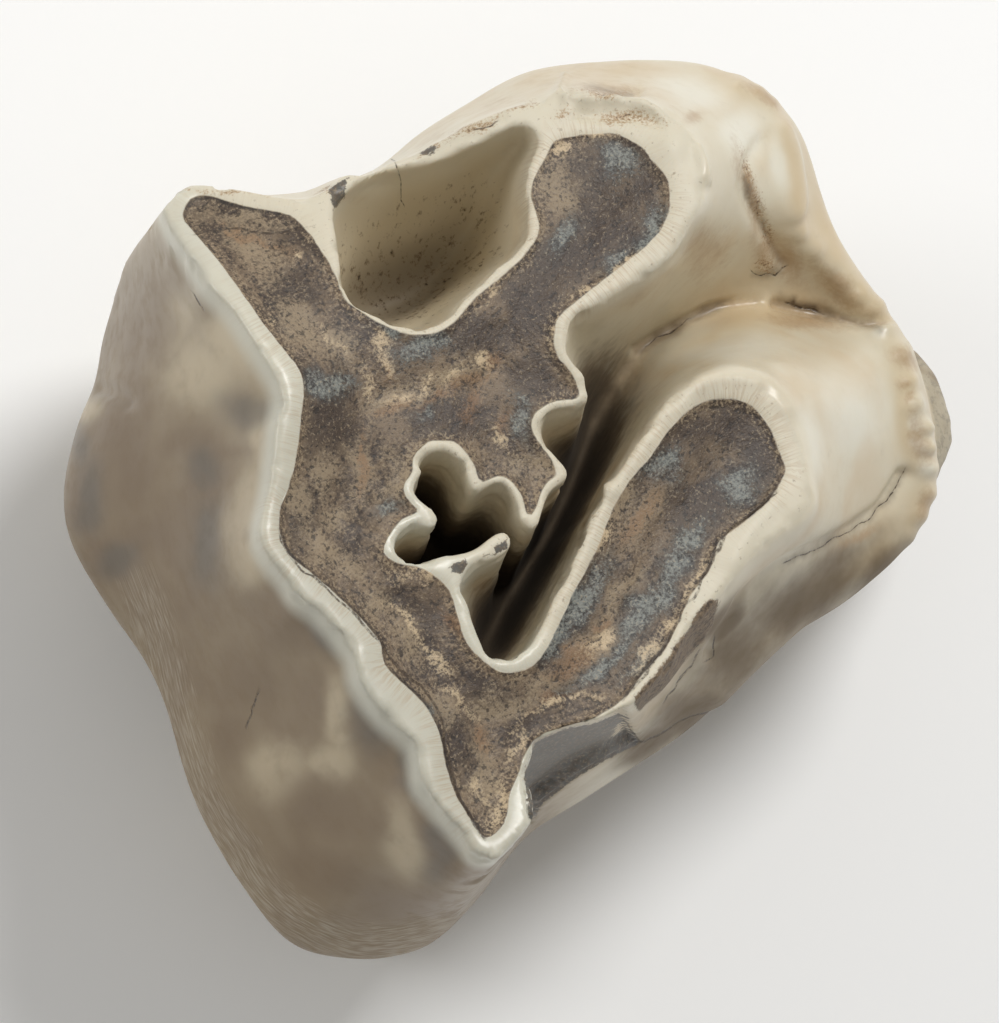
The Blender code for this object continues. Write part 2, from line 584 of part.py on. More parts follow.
def even_skin(thing):
    """One even skin round everything, lightly smoothed."""
    remesh = thing.modifiers.new("skin", "REMESH")
    remesh.mode = "VOXEL"
    remesh.voxel_size = VOXEL * METRE
    smooth = thing.modifiers.new("soften", "SMOOTH")
    smooth.factor = 0.5
    smooth.iterations = 4
    apply_modifiers(thing)


def thin_out(thing):
    """Keeps the set number of triangles, where the shape needs them."""
    thin = thing.modifiers.new("thin", "DECIMATE")
    thin.ratio = TRIANGLES / (2 * len(thing.data.polygons))
    apply_modifiers(thing)


def cut_roots(thing):
    """Cuts the root ends off flat on the plane that the tooth stands on."""
    shape = bmesh.new()
    shape.from_mesh(thing.data)
    everything = shape.verts[:] + shape.edges[:] + shape.faces[:]
    bmesh.ops.bisect_plane(shape, geom=everything, plane_co=(0, 0, ROOT_CUT * METRE),
                           plane_no=(0, 0, 1), clear_inner=True)
    rims = [edge for edge in shape.edges if edge.is_boundary]
    bmesh.ops.holes_fill(shape, edges=rims)
    bmesh.ops.triangulate(shape, faces=shape.faces[:])
    bmesh.ops.recalc_face_normals(shape, faces=shape.faces[:])
    shape.to_mesh(thing.data)
    shape.free()


def centre_on_origin(thing):
    """Puts the middle of the tooth's plan over the origin."""
    corners = np.array([vertex.co for vertex in thing.data.vertices])
    middle = (corners.min(0) + corners.max(0)) / 2
    thing.data.transform(Matrix.Translation((-middle[0], -middle[1], 0)))
    print("tooth moved by", (-middle[:2] / METRE).round(3), "mm, size",
          (np.ptp(corners, axis=0) / METRE).round(2), "mm")


def fossil_material():
    """Ivory enamel with the tan of long burial."""
    material = bpy.data.materials.new("fossil_enamel")
    material.use_nodes = True
    surface = material.node_tree.nodes["Principled BSDF"]
    surface.inputs["Base Color"].default_value = (0.48, 0.41, 0.31, 1)
    surface.inputs["Roughness"].default_value = 0.35
    surface.inputs["Metallic"].default_value = 0.0
    return material


def build():
    """Clears the scene and builds the tooth."""
    for old in list(bpy.data.objects):
        bpy.data.objects.remove(old, do_unlink=True)
    tooth = rough_tooth("tooth")
    even_skin(tooth)
    carve_relief(tooth)
    thin_out(tooth)
    cut_roots(tooth)
    centre_on_origin(tooth)
    tooth.data.materials.clear()
    tooth.data.materials.append(fossil_material())
    tooth.data.shade_smooth()
    print("tooth triangles", len(tooth.data.polygons))


build()
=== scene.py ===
# Looks of the fossil premolar: worn enamel, stained dentine, dirty pits and broken roots.
# Lengths are in millimetres until a mesh is written. Traced points are pixels of the picture.
import math

import bpy
import numpy as np
from mathutils import Matrix, Vector


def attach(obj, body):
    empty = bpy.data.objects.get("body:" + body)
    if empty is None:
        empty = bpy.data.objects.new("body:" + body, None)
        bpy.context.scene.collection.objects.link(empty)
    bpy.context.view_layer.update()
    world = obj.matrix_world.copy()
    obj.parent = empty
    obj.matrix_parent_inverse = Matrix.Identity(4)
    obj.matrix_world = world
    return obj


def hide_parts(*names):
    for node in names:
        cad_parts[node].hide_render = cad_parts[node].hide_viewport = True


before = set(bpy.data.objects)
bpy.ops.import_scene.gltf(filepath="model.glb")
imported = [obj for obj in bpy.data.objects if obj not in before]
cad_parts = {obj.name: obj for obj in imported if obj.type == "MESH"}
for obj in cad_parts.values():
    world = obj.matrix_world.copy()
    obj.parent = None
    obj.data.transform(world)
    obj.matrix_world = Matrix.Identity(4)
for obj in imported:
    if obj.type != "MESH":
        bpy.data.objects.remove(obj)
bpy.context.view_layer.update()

mm = 0.001

# where the picture was taken from
sight = {
    "pictureWidth": 999,
    "pictureHeight": 1023,
    "planeHeight": 51.15,
    "tilt": 15,
    "distance": 994.6,
    "toward": (-0.903, -0.430),
    "right": (0.886, -0.463),
    "target": (-5.9, -3.27, 30.0),
    "lens": 700,
    "sensor": 36,
}

# heights of the worn face: picture x, picture y, height
wearLevels = [
    (165, 210, 30.5), (230, 200, 30.5), (300, 205, 31.0), (205, 262, 32.8), (250, 330, 34.6),
    (284, 400, 35.3), (275, 460, 35.2), (262, 530, 35.3), (300, 596, 35.0), (356, 655, 34.4),
    (418, 755, 33.6), (480, 845, 32.8), (526, 830, 32.4), (535, 745, 31.6), (420, 680, 33.4),
    (330, 290, 33.2), (365, 174, 29.8), (400, 160, 28.4), (450, 143, 28.6), (500, 115, 29.2),
    (430, 340, 33.0), (350, 440, 34.0), (480, 400, 32.4), (540, 240, 31.2), (620, 190, 30.4),
    (700, 190, 30.2), (600, 95, 28.8), (660, 110, 29.0), (560, 300, 31.6), (560, 440, 31.4),
    (400, 500, 33.3), (500, 690, 32.4), (570, 620, 31.3), (640, 680, 30.8), (640, 520, 30.4),
    (720, 460, 29.3), (745, 379, 28.6), (800, 450, 28.0), (790, 525, 28.6), (700, 610, 30.0),
]

# the worn face's outer edge, piece by piece round the tooth
cheekEdge = [
    (163, 208), (176, 235), (195, 262), (210, 285), (235, 310), (255, 340), (268, 360),
    (280, 380), (284, 400), (278, 430), (275, 460), (270, 490), (262, 520), (262, 540),
    (271, 557), (287, 576), (300, 596), (320, 609), (343, 635), (356, 655), (362, 681),
    (385, 713), (415, 740), (421, 759), (425, 785), (451, 818), (467, 838), (477, 855),
    (497, 858), (515, 848), (526, 836), (533, 822), (534, 800), (533, 789), (523, 776),
]
frontEdge = [
    (530, 757), (535, 740), (550, 732), (564, 727), (597, 720), (626, 707), (640, 697),
    (655, 680), (672, 660), (682, 640), (690, 625), (708, 609), (734, 576), (754, 553),
    (783, 530), (803, 515), (812, 500),
]
frontTongueCusp = [
    (808, 478), (803, 458), (797, 435), (785, 412), (768, 392), (745, 379), (720, 378),
    (700, 383), (685, 391), (665, 408), (650, 428), (635, 450), (622, 470), (611, 487),
]
middleValleyFront = [
    (603, 498), (594, 512), (587, 530), (580, 548), (572, 565), (563, 582), (555, 598),
    (547, 618), (538, 635), (530, 647), (516, 656), (503, 658), (492, 655), (483, 645),
    (476, 632), (471, 618), (468, 606), (462, 595), (458, 585),
]
spur = [
    (464, 576), (471, 569), (480, 562), (494, 557), (507, 550), (511, 541), (509, 534),
    (500, 532), (490, 539), (480, 547), (465, 553), (445, 556),
]
innerLoop = [
    (430, 560), (412, 561), (402, 558), (396, 553), (394, 545), (405, 531), (415, 525),
    (430, 527), (437, 522), (437, 515), (430, 508), (420, 500), (413, 490), (414, 482),
    (422, 472), (420, 465), (422, 457), (430, 451), (440, 449), (450, 451), (460, 460),
    (466, 470), (470, 485), (476, 492), (485, 487), (495, 482), (505, 484), (514, 497),
    (519, 515),
]
middleValleyRear = [
    (530, 529), (538, 525), (541, 515), (546, 500), (552, 488), (567, 479), (567, 470),
    (560, 460), (547, 445), (541, 428), (543, 418), (550, 411), (560, 406), (580, 405),
    (589, 398), (586, 387), (584, 374), (577, 367), (566, 352), (566, 340), (569, 322),
    (575, 315),
]
rearTongueCusp = [
    (600, 300), (640, 278), (660, 265), (675, 250), (683, 235), (690, 222), (698, 210),
    (703, 195), (702, 180), (704, 165), (700, 150), (690, 136), (678, 122), (660, 108),
    (630, 99), (600, 92), (575, 88),
]
rearEdge = [
    (558, 92), (540, 101), (520, 106), (500, 112), (470, 124), (445, 138), (425, 147),
    (405, 158), (390, 164), (366, 175), (347, 174), (331, 187), (316, 196), (300, 200),
    (270, 196), (240, 190), (212, 185), (188, 184), (170, 195),
]
# each piece with how rounded its shoulder is
wornFace = [
    (cheekEdge, 0.0), (frontEdge, 0.3), (frontTongueCusp, 1.0), (middleValleyFront, 0.0),
    (spur, 0.0), (innerLoop, 0.0), (middleValleyRear, 0.0), (rearTongueCusp, 0.8),
    (rearEdge, 0.0),
]

dentineEdge = [
    (183, 213), (198, 235), (215, 255), (232, 278), (250, 303), (268, 328), (295, 362),
    (304, 385), (301, 420), (297, 455), (290, 485), (283, 500), (280, 515), (281, 532),
    (290, 555), (313, 573), (346, 602), (379, 638), (385, 664), (408, 687), (428, 707),
    (441, 736), (447, 766), (457, 795), (473, 821), (487, 837), (505, 822), (510, 795),
    (518, 775), (527, 750), (545, 732), (597, 716), (628, 694), (643, 674), (666, 648),
    (679, 622), (692, 593), (708, 573), (713, 560), (721, 540), (741, 524), (765, 505),
    (776, 490), (786, 470), (780, 451), (767, 421), (747, 402), (724, 398), (700, 403),
    (680, 418), (665, 435), (650, 457), (630, 480), (612, 512), (596, 552), (576, 588),
    (560, 622), (545, 652), (530, 667), (512, 672), (495, 668), (475, 652), (464, 635),
    (458, 615), (450, 590), (437, 577), (420, 566), (400, 563), (388, 556), (384, 548),
    (390, 534), (402, 519), (418, 510), (408, 498), (404, 485), (413, 470), (414, 455),
    (428, 441), (440, 440), (455, 441), (465, 450), (475, 465), (481, 481), (495, 476),
    (508, 477), (522, 494), (528, 515), (536, 508), (540, 495), (548, 481), (557, 474),
    (552, 458), (538, 440), (532, 424), (536, 412), (555, 400), (580, 396), (572, 372),
    (560, 358), (555, 345), (556, 330), (560, 315), (595, 286), (622, 265), (645, 246),
    (662, 228), (670, 205), (668, 178), (652, 160), (645, 148), (620, 134), (600, 133),
    (575, 135), (556, 140), (546, 157), (535, 178), (532, 195), (539, 220), (538, 235),
    (522, 258), (500, 277), (475, 298), (458, 318), (440, 331), (420, 334), (400, 331),
    (380, 322), (352, 305), (342, 290), (335, 272), (322, 250), (306, 228), (290, 214),
    (245, 205), (200, 194),
]
rearPit = [
    (333, 212), (338, 245), (342, 280), (350, 300), (360, 309), (385, 320), (400, 326),
    (420, 328), (435, 326), (445, 321), (455, 313), (465, 299), (478, 287), (490, 277),
    (500, 266), (512, 258), (522, 247), (530, 235), (530, 215), (528, 200), (528, 175),
    (533, 158), (540, 145), (535, 130), (520, 124), (505, 129), (480, 142), (460, 150),
    (445, 157), (430, 161), (415, 163), (400, 166), (382, 170), (363, 179), (345, 192),
]

# lowest lines of the hollows: picture x, picture y, height it is traced at, floor height
valleyLine = [
    (508, 640, 31.5, 24.0), (513, 618, 31.5, 20.0), (530, 580, 31.5, 17.0),
    (549, 545, 31.5, 16.0), (568, 513, 31, 15.0), (590, 478, 31, 14.6), (610, 440, 31, 14.4),
    (628, 397, 31, 14.4), (645, 350, 30, 14.8), (668, 312, 30, 15.2), (650, 342, 15.6, 15.6),
    (690, 325, 16.2, 16.2), (735, 303, 16.6, 16.6), (780, 303, 15.8, 15.8),
    (815, 312, 15.4, 15.4), (850, 321, 16.0, 16.0), (885, 327, 15.6, 15.6),
    (903, 330, 14.8, 14.8),
]
loopLine = [
    (410, 546, 32.5, 23.0), (430, 543, 32.5, 21.0), (460, 528, 32.3, 19.5),
    (495, 512, 32, 19.0), (520, 536, 31.6, 17.5), (549, 545, 31.5, 16.0),
]
loopLobeLine = [(438, 461, 32.8, 23.0), (445, 480, 32.6, 20.5), (458, 512, 32.4, 19.6)]
rearPitLine = [(380, 258, 32, 19.0), (405, 250, 32, 17.6), (445, 240, 32, 17.2),
               (480, 215, 32, 18.0), (505, 175, 32, 20.5)]

# widest line of the crown: picture x, picture y, height, width of the ledge above it
girthLine = [
    (125, 262, 18, 0), (112, 308, 14, 0), (98, 345, 12, 0), (97, 378, 12, 0), (85, 402, 12, 0),
    (72, 434, 12, 0), (62, 475, 12, 0), (60, 511, 12, 0), (65, 534, 12, 0), (78, 563, 12, 0),
    (95, 589, 12, 0), (114, 619, 12, 0), (134, 645, 12, 0), (150, 671, 12, 0), (162, 700, 12, 0),
    (170, 727, 12, 0), (178, 759, 12, 0), (186, 785, 12, 0), (199, 818, 12, 0), (216, 847, 12, 0),
    (235, 877, 12, 0), (255, 906, 12, 0), (274, 932, 12, 0), (294, 949, 12, 0), (318, 957, 12, 0),
    (355, 961, 12, 0), (392, 960, 12, 0), (421, 950, 12, 0), (447, 932, 12, 0),
    (467, 911, 12, 0), (487, 887, 12, 0), (507, 860, 12, 0), (521, 841, 12, 0),
    (535, 828, 12, 0), (581, 803, 12, 0), (630, 772, 12, 0), (675, 744, 12, 0.2),
    (711, 715, 12, 0.4), (737, 689, 12, 0.6), (754, 671, 12, 0.8), (786, 642, 12, 1),
    (812, 625, 12, 1), (845, 606, 12, 1), (874, 583, 12, 1), (901, 557, 12, 1),
    (920, 531, 12, 1), (931, 505, 12.5, 1), (936, 470, 13, 1), (934, 421, 14, 1),
    (920, 366, 14, 1), (899, 327, 15, 1), (872, 288, 15, 1), (850, 254, 15.5, 1),
    (830, 215, 16, 1), (819, 178, 16.5, 1), (812, 150, 17, 1), (803, 130, 17, 1),
    (785, 109, 17.5, 1), (760, 87, 18, 1), (730, 70, 18, 0.8), (700, 59, 18, 0.6),
    (640, 57, 18, 0.3), (600, 60, 18, 0.2), (560, 64, 18, 0.1), (520, 71, 18, 0),
    (485, 90, 18, 0), (459, 107, 18, 0), (432, 123, 18, 0), (406, 140, 18, 0),
    (380, 168, 18, 0), (340, 184, 18, 0), (301, 198, 18, 0),
    (240, 197, 18, 0), (193, 204, 18, 0), (152, 233, 18, 0),
]

# wall profiles: share of the way from the rim to the low line, share of the height left
walls = {
    "cheek": [(0, 1), (0.08, 0.93), (0.3, 0.72), (0.55, 0.47), (0.78, 0.26), (0.92, 0.12), (1, 0)],
    "ledge": [(0, 1), (0.1, 0.95), (0.3, 0.76), (0.5, 0.52), (0.68, 0.30), (0.82, 0.19),
              (0.93, 0.14), (1, 0)],
    "sheer": [(0, 1), (0.08, 0.88), (0.5, 0.42), (0.85, 0.08), (1, 0)],
    "sloping": [(0, 1), (0.12, 0.95), (0.3, 0.80), (0.55, 0.48), (0.8, 0.17), (0.95, 0.02), (1, 0)],
    "pit": [(0, 1), (0.06, 0.88), (0.4, 0.46), (0.7, 0.16), (0.88, 0.03), (1, 0)],
}

# broken roots, in plan at their cut ends
rootOutlines = [
    [(14.8, -8.8), (16.4, -4.2), (15.6, 0.8), (16.4, 5.2), (14.2, 9.6), (11.0, 11.6),
     (8.0, 8.8), (8.9, 3.4), (7.5, -1.6), (7.5, -6.6), (10.4, -9.9)],
    [(-9.4, 14.4), (-5.0, 12.8), (-0.2, 13.8), (2.4, 11.2), (0.2, 6.6), (-5.0, 5.8),
     (-9.5, 4.8), (-15.4, 5.8), (-16.4, 9.2), (-13.2, 12.6)],
    [(-17.8, -6.0), (-13.6, -4.4), (-8.2, -6.0), (-3.6, -7.2), (-3.2, -11.6), (-7.4, -13.0),
     (-11.3, -15.0), (-16.0, -14.4), (-18.0, -10.6)],
]
# the splayed tongue root: height, x, y, half width, half length of its ovals
swellOvals = [
    (-1.0, 12.8, -4.2, 4.4, 5.4), (2.0, 14.9, -4.6, 5.1, 6.0), (5.0, 16.2, -5.0, 5.8, 6.5),
    (8.0, 16.8, -5.0, 6.0, 6.5), (10.5, 16.5, -5.0, 5.9, 6.3), (12.5, 15.4, -4.7, 5.3, 5.5),
    (14.4, 13.4, -4.4, 3.8, 4.0),
]
# how far it rises past the last oval, how soon its ovals reach full width, and its waves
swellShape = {"past": 0.6, "fullness": 2.2, "waves": 3, "waveShare": 0.05, "waveStart": 0.6}


def sightAxes():
    tilt = math.radians(sight["tilt"])
    toward = np.array([*(np.array(sight["toward"]) * math.sin(tilt)), math.cos(tilt)])
    toward /= np.linalg.norm(toward)
    right = np.array([*sight["right"], 0.0])
    right -= right.dot(toward) * toward
    right /= np.linalg.norm(right)
    return toward, right, np.cross(toward, right)


toward, rightward, upward = sightAxes()
eye = np.array(sight["target"]) + toward * sight["distance"]
pixel = sight["planeHeight"] / sight["pictureHeight"]


def planPoints(pixels, heights):
    # where the sight lines through picture points reach the given heights
    pixels = np.asarray(pixels, float)
    across = (pixels[:, 0] - sight["pictureWidth"] / 2) * pixel
    along = (sight["pictureHeight"] / 2 - pixels[:, 1]) * pixel
    rays = np.outer(across, rightward) + np.outer(along, upward) - sight["distance"] * toward
    reach = (heights - eye[2]) / rays[:, 2]
    return eye[:2] + rays[:, :2] * reach[:, None]


def picturePoints(places):
    # the picture points at which places on the tooth are seen
    offset = places - eye
    depth = -offset @ toward
    across = offset @ rightward * sight["distance"] / depth
    along = offset @ upward * sight["distance"] / depth
    return np.stack([across / pixel + sight["pictureWidth"] / 2,
                     sight["pictureHeight"] / 2 - along / pixel], 1)


def rounded(points, closed=True, pieces=3):
    # a smooth line through traced points
    points = np.asarray(points, float)
    count = len(points)
    result = []
    for index in range(count if closed else count - 1):
        around = [index + k for k in (-1, 0, 1, 2)]
        around = [k % count if closed else min(max(k, 0), count - 1) for k in around]
        before, start, end, after = points[around]
        for step in range(pieces):
            t = step / pieces
            result.append(0.5 * (2 * start + (end - before) * t
                                 + (2 * before - 5 * start + 4 * end - after) * t * t
                                 + (3 * start - before - 3 * end + after) * t ** 3))
    if not closed:
        result.append(points[-1])
    return np.array(result)


def nearest(places, line, closed=True):
    # distance from each place to a line, and the line's other columns at that point
    best = np.full(len(places), np.inf)
    extra = np.zeros((len(places), line.shape[1] - 2))
    ends = np.roll(line, -1, axis=0) if closed else line[1:]
    for start, end in zip(line[:len(ends)], ends):
        span = end[:2] - start[:2]
        offset = places - start[:2]
        share = np.clip(offset @ span / max(span @ span, 1e-12), 0, 1)
        square = ((offset - share[:, None] * span) ** 2).sum(1)
        closer = square < best
        best[closer] = square[closer]
        if extra.shape[1]:
            extra[closer] = start[2:] + share[closer, None] * (end[2:] - start[2:])
    return np.sqrt(best), extra


def within(places, loop):
    inside = np.zeros(len(places), bool)
    x, y = places[:, 0], places[:, 1]
    for (x1, y1), (x2, y2) in zip(loop[:, :2], np.roll(loop[:, :2], -1, axis=0)):
        crosses = (y1 > y) != (y2 > y)
        if crosses.any():
            inside[crosses] ^= x[crosses] < (x2 - x1) * (y[crosses] - y1) / (y2 - y1) + x1
    return inside


def signedDistance(places, loop):
    distance = nearest(places, loop[:, :2])[0]
    return np.where(within(places, loop), distance, -distance)


def withLength(line):
    # the line with its running length as one more column
    steps = np.linalg.norm(np.diff(line[:, :2], axis=0), axis=1)
    return np.column_stack([line, np.concatenate([[0], np.cumsum(steps)])])


def softStep(value, start, end):
    share = np.clip((value - start) / (end - start), 0, 1)
    return share * share * (3 - 2 * share)


def softLow(first, second, width):
    blend = np.clip(0.5 + 0.5 * (second - first) / width, 0, 1)
    return second + (first - second) * blend - width * blend * (1 - blend)


def profile(share, knots):
    fine = np.linspace(0, 1, 401)
    curve = np.interp(fine, [k[0] for k in knots], [k[1] for k in knots])
    window = np.hanning(41)
    padded = np.concatenate([2 * curve[0] - curve[20:0:-1], curve, 2 * curve[-1] - curve[-2:-22:-1]])
    return np.interp(share, fine, np.convolve(padded, window / window.sum(), "valid"))


def thinPlate(points, values):
    # a smooth sheet through scattered heights
    def bend(square):
        return 0.5 * square * np.log(square + 1e-9)
    count = len(points)
    table = np.zeros((count + 3, count + 3))
    table[:count, :count] = bend(((points[:, None] - points[None]) ** 2).sum(2))
    table[:count, count] = 1
    table[:count, count + 1:] = points
    table[count:, :count] = table[:count, count:].T
    weights = np.linalg.solve(table, np.concatenate([values, np.zeros(3)]))

    def sheet(places):
        total = weights[count] + places @ weights[count + 1:]
        for point, weight in zip(points, weights[:count]):
            total = total + weight * bend(((places - point) ** 2).sum(1))
        return total
    return sheet


def onSheet(pixels, sheet, start=32.0):
    heights = np.full(len(pixels), start)
    for _ in range(6):
        places = planPoints(pixels, heights)
        heights = sheet(places)
    return np.column_stack([places, heights])


def floorLine(points):
    line = rounded(points, closed=False)
    return np.column_stack([planPoints(line[:, :2], line[:, 2]), line[:, 3]])


def grain(places, size, seed=0):
    # smooth noise from -1 to 1 whose lumps are about as large as size
    scaled = np.asarray(places, float) / size + seed * 17.31
    cell = np.floor(scaled).astype(np.int64)
    part = scaled - cell
    part = part * part * (3 - 2 * part)
    total = np.zeros(len(scaled))
    for corner in range(2 ** scaled.shape[1]):
        pick = np.array([(corner >> axis) & 1 for axis in range(scaled.shape[1])])
        key = (cell + pick) @ np.array([374761393, 668265263, 2147483647][:scaled.shape[1]])
        key = (key ^ (key >> 13)) * 1274126177 & 0xffffffff
        key = (key ^ (key >> 16)) & 0xffff
        share = np.where(pick, part, 1 - part).prod(1)
        total += share * (key / 32767.5 - 1)
    return total


class Crown:
    # the traced outlines in plan, ready for measuring distances to them
    def __init__(self):
        levels = np.array(wearLevels, float)
        self.wear = thinPlate(planPoints(levels[:, :2], levels[:, 2]), levels[:, 2])
        outline = rounded([(x, y, soft) for piece, soft in wornFace for x, y in piece])
        self.face = np.column_stack([onSheet(outline[:, :2], self.wear), outline[:, 2]])
        self.dentine = onSheet(rounded(dentineEdge), self.wear)
        self.rearPit = onSheet(rounded(rearPit), self.wear)
        girth = rounded(girthLine)
        self.girth = np.column_stack([planPoints(girth[:, :2], girth[:, 2]), girth[:, 2:]])
        self.hollows = [floorLine(line) for line in (valleyLine, loopLine, loopLobeLine)]
        self.rearPitFloor = floorLine(rearPitLine)

    def top(self, places):
        onFace = within(places, self.face)
        height = self.wear(places)
        inward = signedDistance(places, self.dentine)
        for name in ("lip", "step", "dish"):
            height -= wear[name] * softStep(inward, *wear[name + "Reach"])
        height[~onFace] = self.walls(places[~onFace])
        return self.cutRearPit(places, height)

    def walls(self, places):
        rimGap, rim = nearest(places, self.face)
        girthGap, girth = nearest(places, self.girth)
        floorGap = np.full(len(places), np.inf)
        floor = np.zeros(len(places))
        for line in self.hollows:
            gap, level = nearest(places, line, closed=False)
            closer = gap < floorGap
            floorGap[closer] = gap[closer]
            floor[closer] = level[closer, 0]
        hollow = softStep(girthGap - floorGap, -wear["hollowBlend"], wear["hollowBlend"])
        low = girth[:, 0] + (floor - girth[:, 0]) * hollow
        lowGap = np.minimum(girthGap, floorGap)
        share = rimGap / np.maximum(rimGap + lowGap, 1e-6)
        soft, ledge = rim[:, 1], girth[:, 1]
        outer = profile(share, walls["cheek"]) * (1 - ledge) + profile(share, walls["ledge"]) * ledge
        inner = profile(share, walls["sheer"]) * (1 - soft) + profile(share, walls["sloping"]) * soft
        return low + (rim[:, 0] - low) * (outer * (1 - hollow) + inner * hollow)

    def cutRearPit(self, places, height):
        inside = within(places, self.rearPit)
        inner = places[inside]
        rimGap, rim = nearest(inner, self.rearPit)
        floorGap, floor = nearest(inner, self.rearPitFloor, closed=False)
        share = rimGap / np.maximum(rimGap + floorGap, 1e-6)
        height[inside] = floor[:, 0] + (rim[:, 0] - floor[:, 0]) * profile(share, walls["pit"])
        return height

    def under(self, places):
        gap, girth = nearest(places, self.girth)
        tuck = np.sqrt(np.clip(1 - (1 - np.clip(gap / roots["neckInset"], 0, 1)) ** 2, 0, 1))
        neck = girth[:, 0] - (girth[:, 0] - roots["neck"]) * tuck
        ceiling = neck + (roots["arch"] - roots["neck"]) * softStep(gap, *roots["archReach"])
        stumps = np.full(len(places), np.inf)
        for outline in rootOutlines:
            outside = np.maximum(-signedDistance(places, rounded(outline)), 0)
            flare = roots["steepness"] * outside ** roots["curve"]
            stumps = np.minimum(stumps, flare - roots["overcut"])
        return softLow(ceiling, stumps, roots["fillet"])


# the worn face lies above the first height everywhere, the pits and the valley above the second
faceLowest = 25
hollowLowest = 13
# how the worn face sinks inside its enamel
wear = {
    "lip": 0.10, "step": 0.30, "dish": 0.45,
    # how far inside the dentine's edge each begins and ends
    "lipReach": (-0.9, 0.0), "stepReach": (-0.08, 0.22), "dishReach": (0.2, 4.0),
    # half width of the change from the outer walls to the hollows
    "hollowBlend": 1.2,
}
# neck and stumps
roots = {
    "neck": 8.8, "neckInset": 2.8, "arch": 10.4, "archReach": (2, 12),
    "steepness": 2.6, "curve": 1.3, "overcut": 0.8, "fillet": 4.0,
}
# how finely the skin is made
skin = {
    "gridStep": 0.16, "thinnest": 0.5, "voxel": 0.24, "triangles": 196000,
    # rounds of smoothing on the walls, and how near the rim it stops
    "wallRounds": 90, "rimKept": (0.35, 1.6),
    # share of the thinning that the crown is spared, and the heights that it starts between
    "spared": 0.75, "sparedFrom": (2, 9),
}


def deselectAll():
    if bpy.context.object and bpy.context.object.mode != "OBJECT":
        bpy.ops.object.mode_set(mode="OBJECT")
    bpy.ops.object.select_all(action="DESELECT")


def makeActive(thing):
    deselectAll()
    thing.select_set(True)
    bpy.context.view_layer.objects.active = thing


def readPlaces(thing):
    places = np.empty(len(thing.data.vertices) * 3)
    thing.data.vertices.foreach_get("co", places)
    return places.reshape(-1, 3) / mm


def writePlaces(thing, places):
    thing.data.vertices.foreach_set("co", (places * mm).ravel())
    thing.data.update()


def readNormals(thing):
    normals = np.empty(len(thing.data.vertices) * 3)
    thing.data.vertex_normals.foreach_get("vector", normals)
    return normals.reshape(-1, 3)


def selectVertices(thing, chosen):
    thing.data.vertices.foreach_set("select", chosen)
    for part in (thing.data.edges, thing.data.polygons):
        part.foreach_set("select", np.zeros(len(part), bool))


def openRim(thing):
    # the vertices on the sheet's open edge
    loops = np.empty(len(thing.data.loops), np.int32)
    thing.data.loops.foreach_get("edge_index", loops)
    ends = np.empty(len(thing.data.edges) * 2, np.int32)
    thing.data.edges.foreach_get("vertices", ends)
    alone = np.bincount(loops, minlength=len(thing.data.edges)) == 1
    rim = np.zeros(len(thing.data.vertices), bool)
    rim[ends.reshape(-1, 2)[alone].ravel()] = True
    return rim


def snapped(places, loop, reach):
    # moves places that lie close to an outline onto it
    gap, foot = nearest(places, np.column_stack([loop[:, :2], loop[:, :2]]))
    close = gap < reach
    places[close] = foot[close]
    return places


def addSheet(crown):
    # a fine grid cut to the crown's widest outline
    low = crown.girth[:, :2].min(0) - skin["gridStep"]
    high = crown.girth[:, :2].max(0) + skin["gridStep"]
    columns, rows = (int(span / skin["gridStep"]) for span in high - low)
    deselectAll()
    bpy.ops.mesh.primitive_grid_add(x_subdivisions=columns, y_subdivisions=rows, size=2 * mm)
    sheet = bpy.context.object
    places = readPlaces(sheet)
    places[:, :2] = low + (places[:, :2] + 1) / 2 * (high - low)
    writePlaces(sheet, places)
    selectVertices(sheet, ~within(places[:, :2], crown.girth))
    bpy.ops.object.mode_set(mode="EDIT")
    bpy.ops.mesh.delete(type="VERT")
    bpy.ops.mesh.select_all(action="SELECT")
    bpy.ops.mesh.delete_loose(use_verts=True, use_edges=True)
    bpy.ops.object.mode_set(mode="OBJECT")
    return sheet


def shapeCrown(crown):
    # the chewing face and walls above, the roots below, joined all round the girth
    upper = addSheet(crown)
    rim = openRim(upper)
    places = readPlaces(upper)
    flat = places[:, :2]
    flat = snapped(flat, crown.face, 0.5 * skin["gridStep"])
    flat = snapped(flat, crown.rearPit, 0.5 * skin["gridStep"])
    flat[rim] = snapped(flat[rim], crown.girth, 3 * skin["gridStep"])
    girthHeight = nearest(flat, crown.girth)[1][:, 0]
    bottom = crown.under(flat)
    top = np.maximum(crown.top(flat), bottom + skin["thinnest"])
    places[:, :2] = flat
    places[:, 2] = np.where(rim, girthHeight, top)
    writePlaces(upper, places)
    makeActive(upper)
    bpy.ops.object.duplicate()
    lower = bpy.context.object
    places[:, 2] = np.where(rim, girthHeight, bottom)
    writePlaces(lower, places)
    bpy.ops.object.mode_set(mode="EDIT")
    bpy.ops.mesh.select_all(action="SELECT")
    bpy.ops.mesh.flip_normals()
    bpy.ops.object.mode_set(mode="OBJECT")
    upper.select_set(True)
    bpy.context.view_layer.objects.active = upper
    bpy.ops.object.join()
    bpy.ops.object.mode_set(mode="EDIT")
    bpy.ops.mesh.select_all(action="SELECT")
    bpy.ops.mesh.remove_doubles(threshold=0.002 * mm)
    bpy.ops.object.mode_set(mode="OBJECT")
    return upper


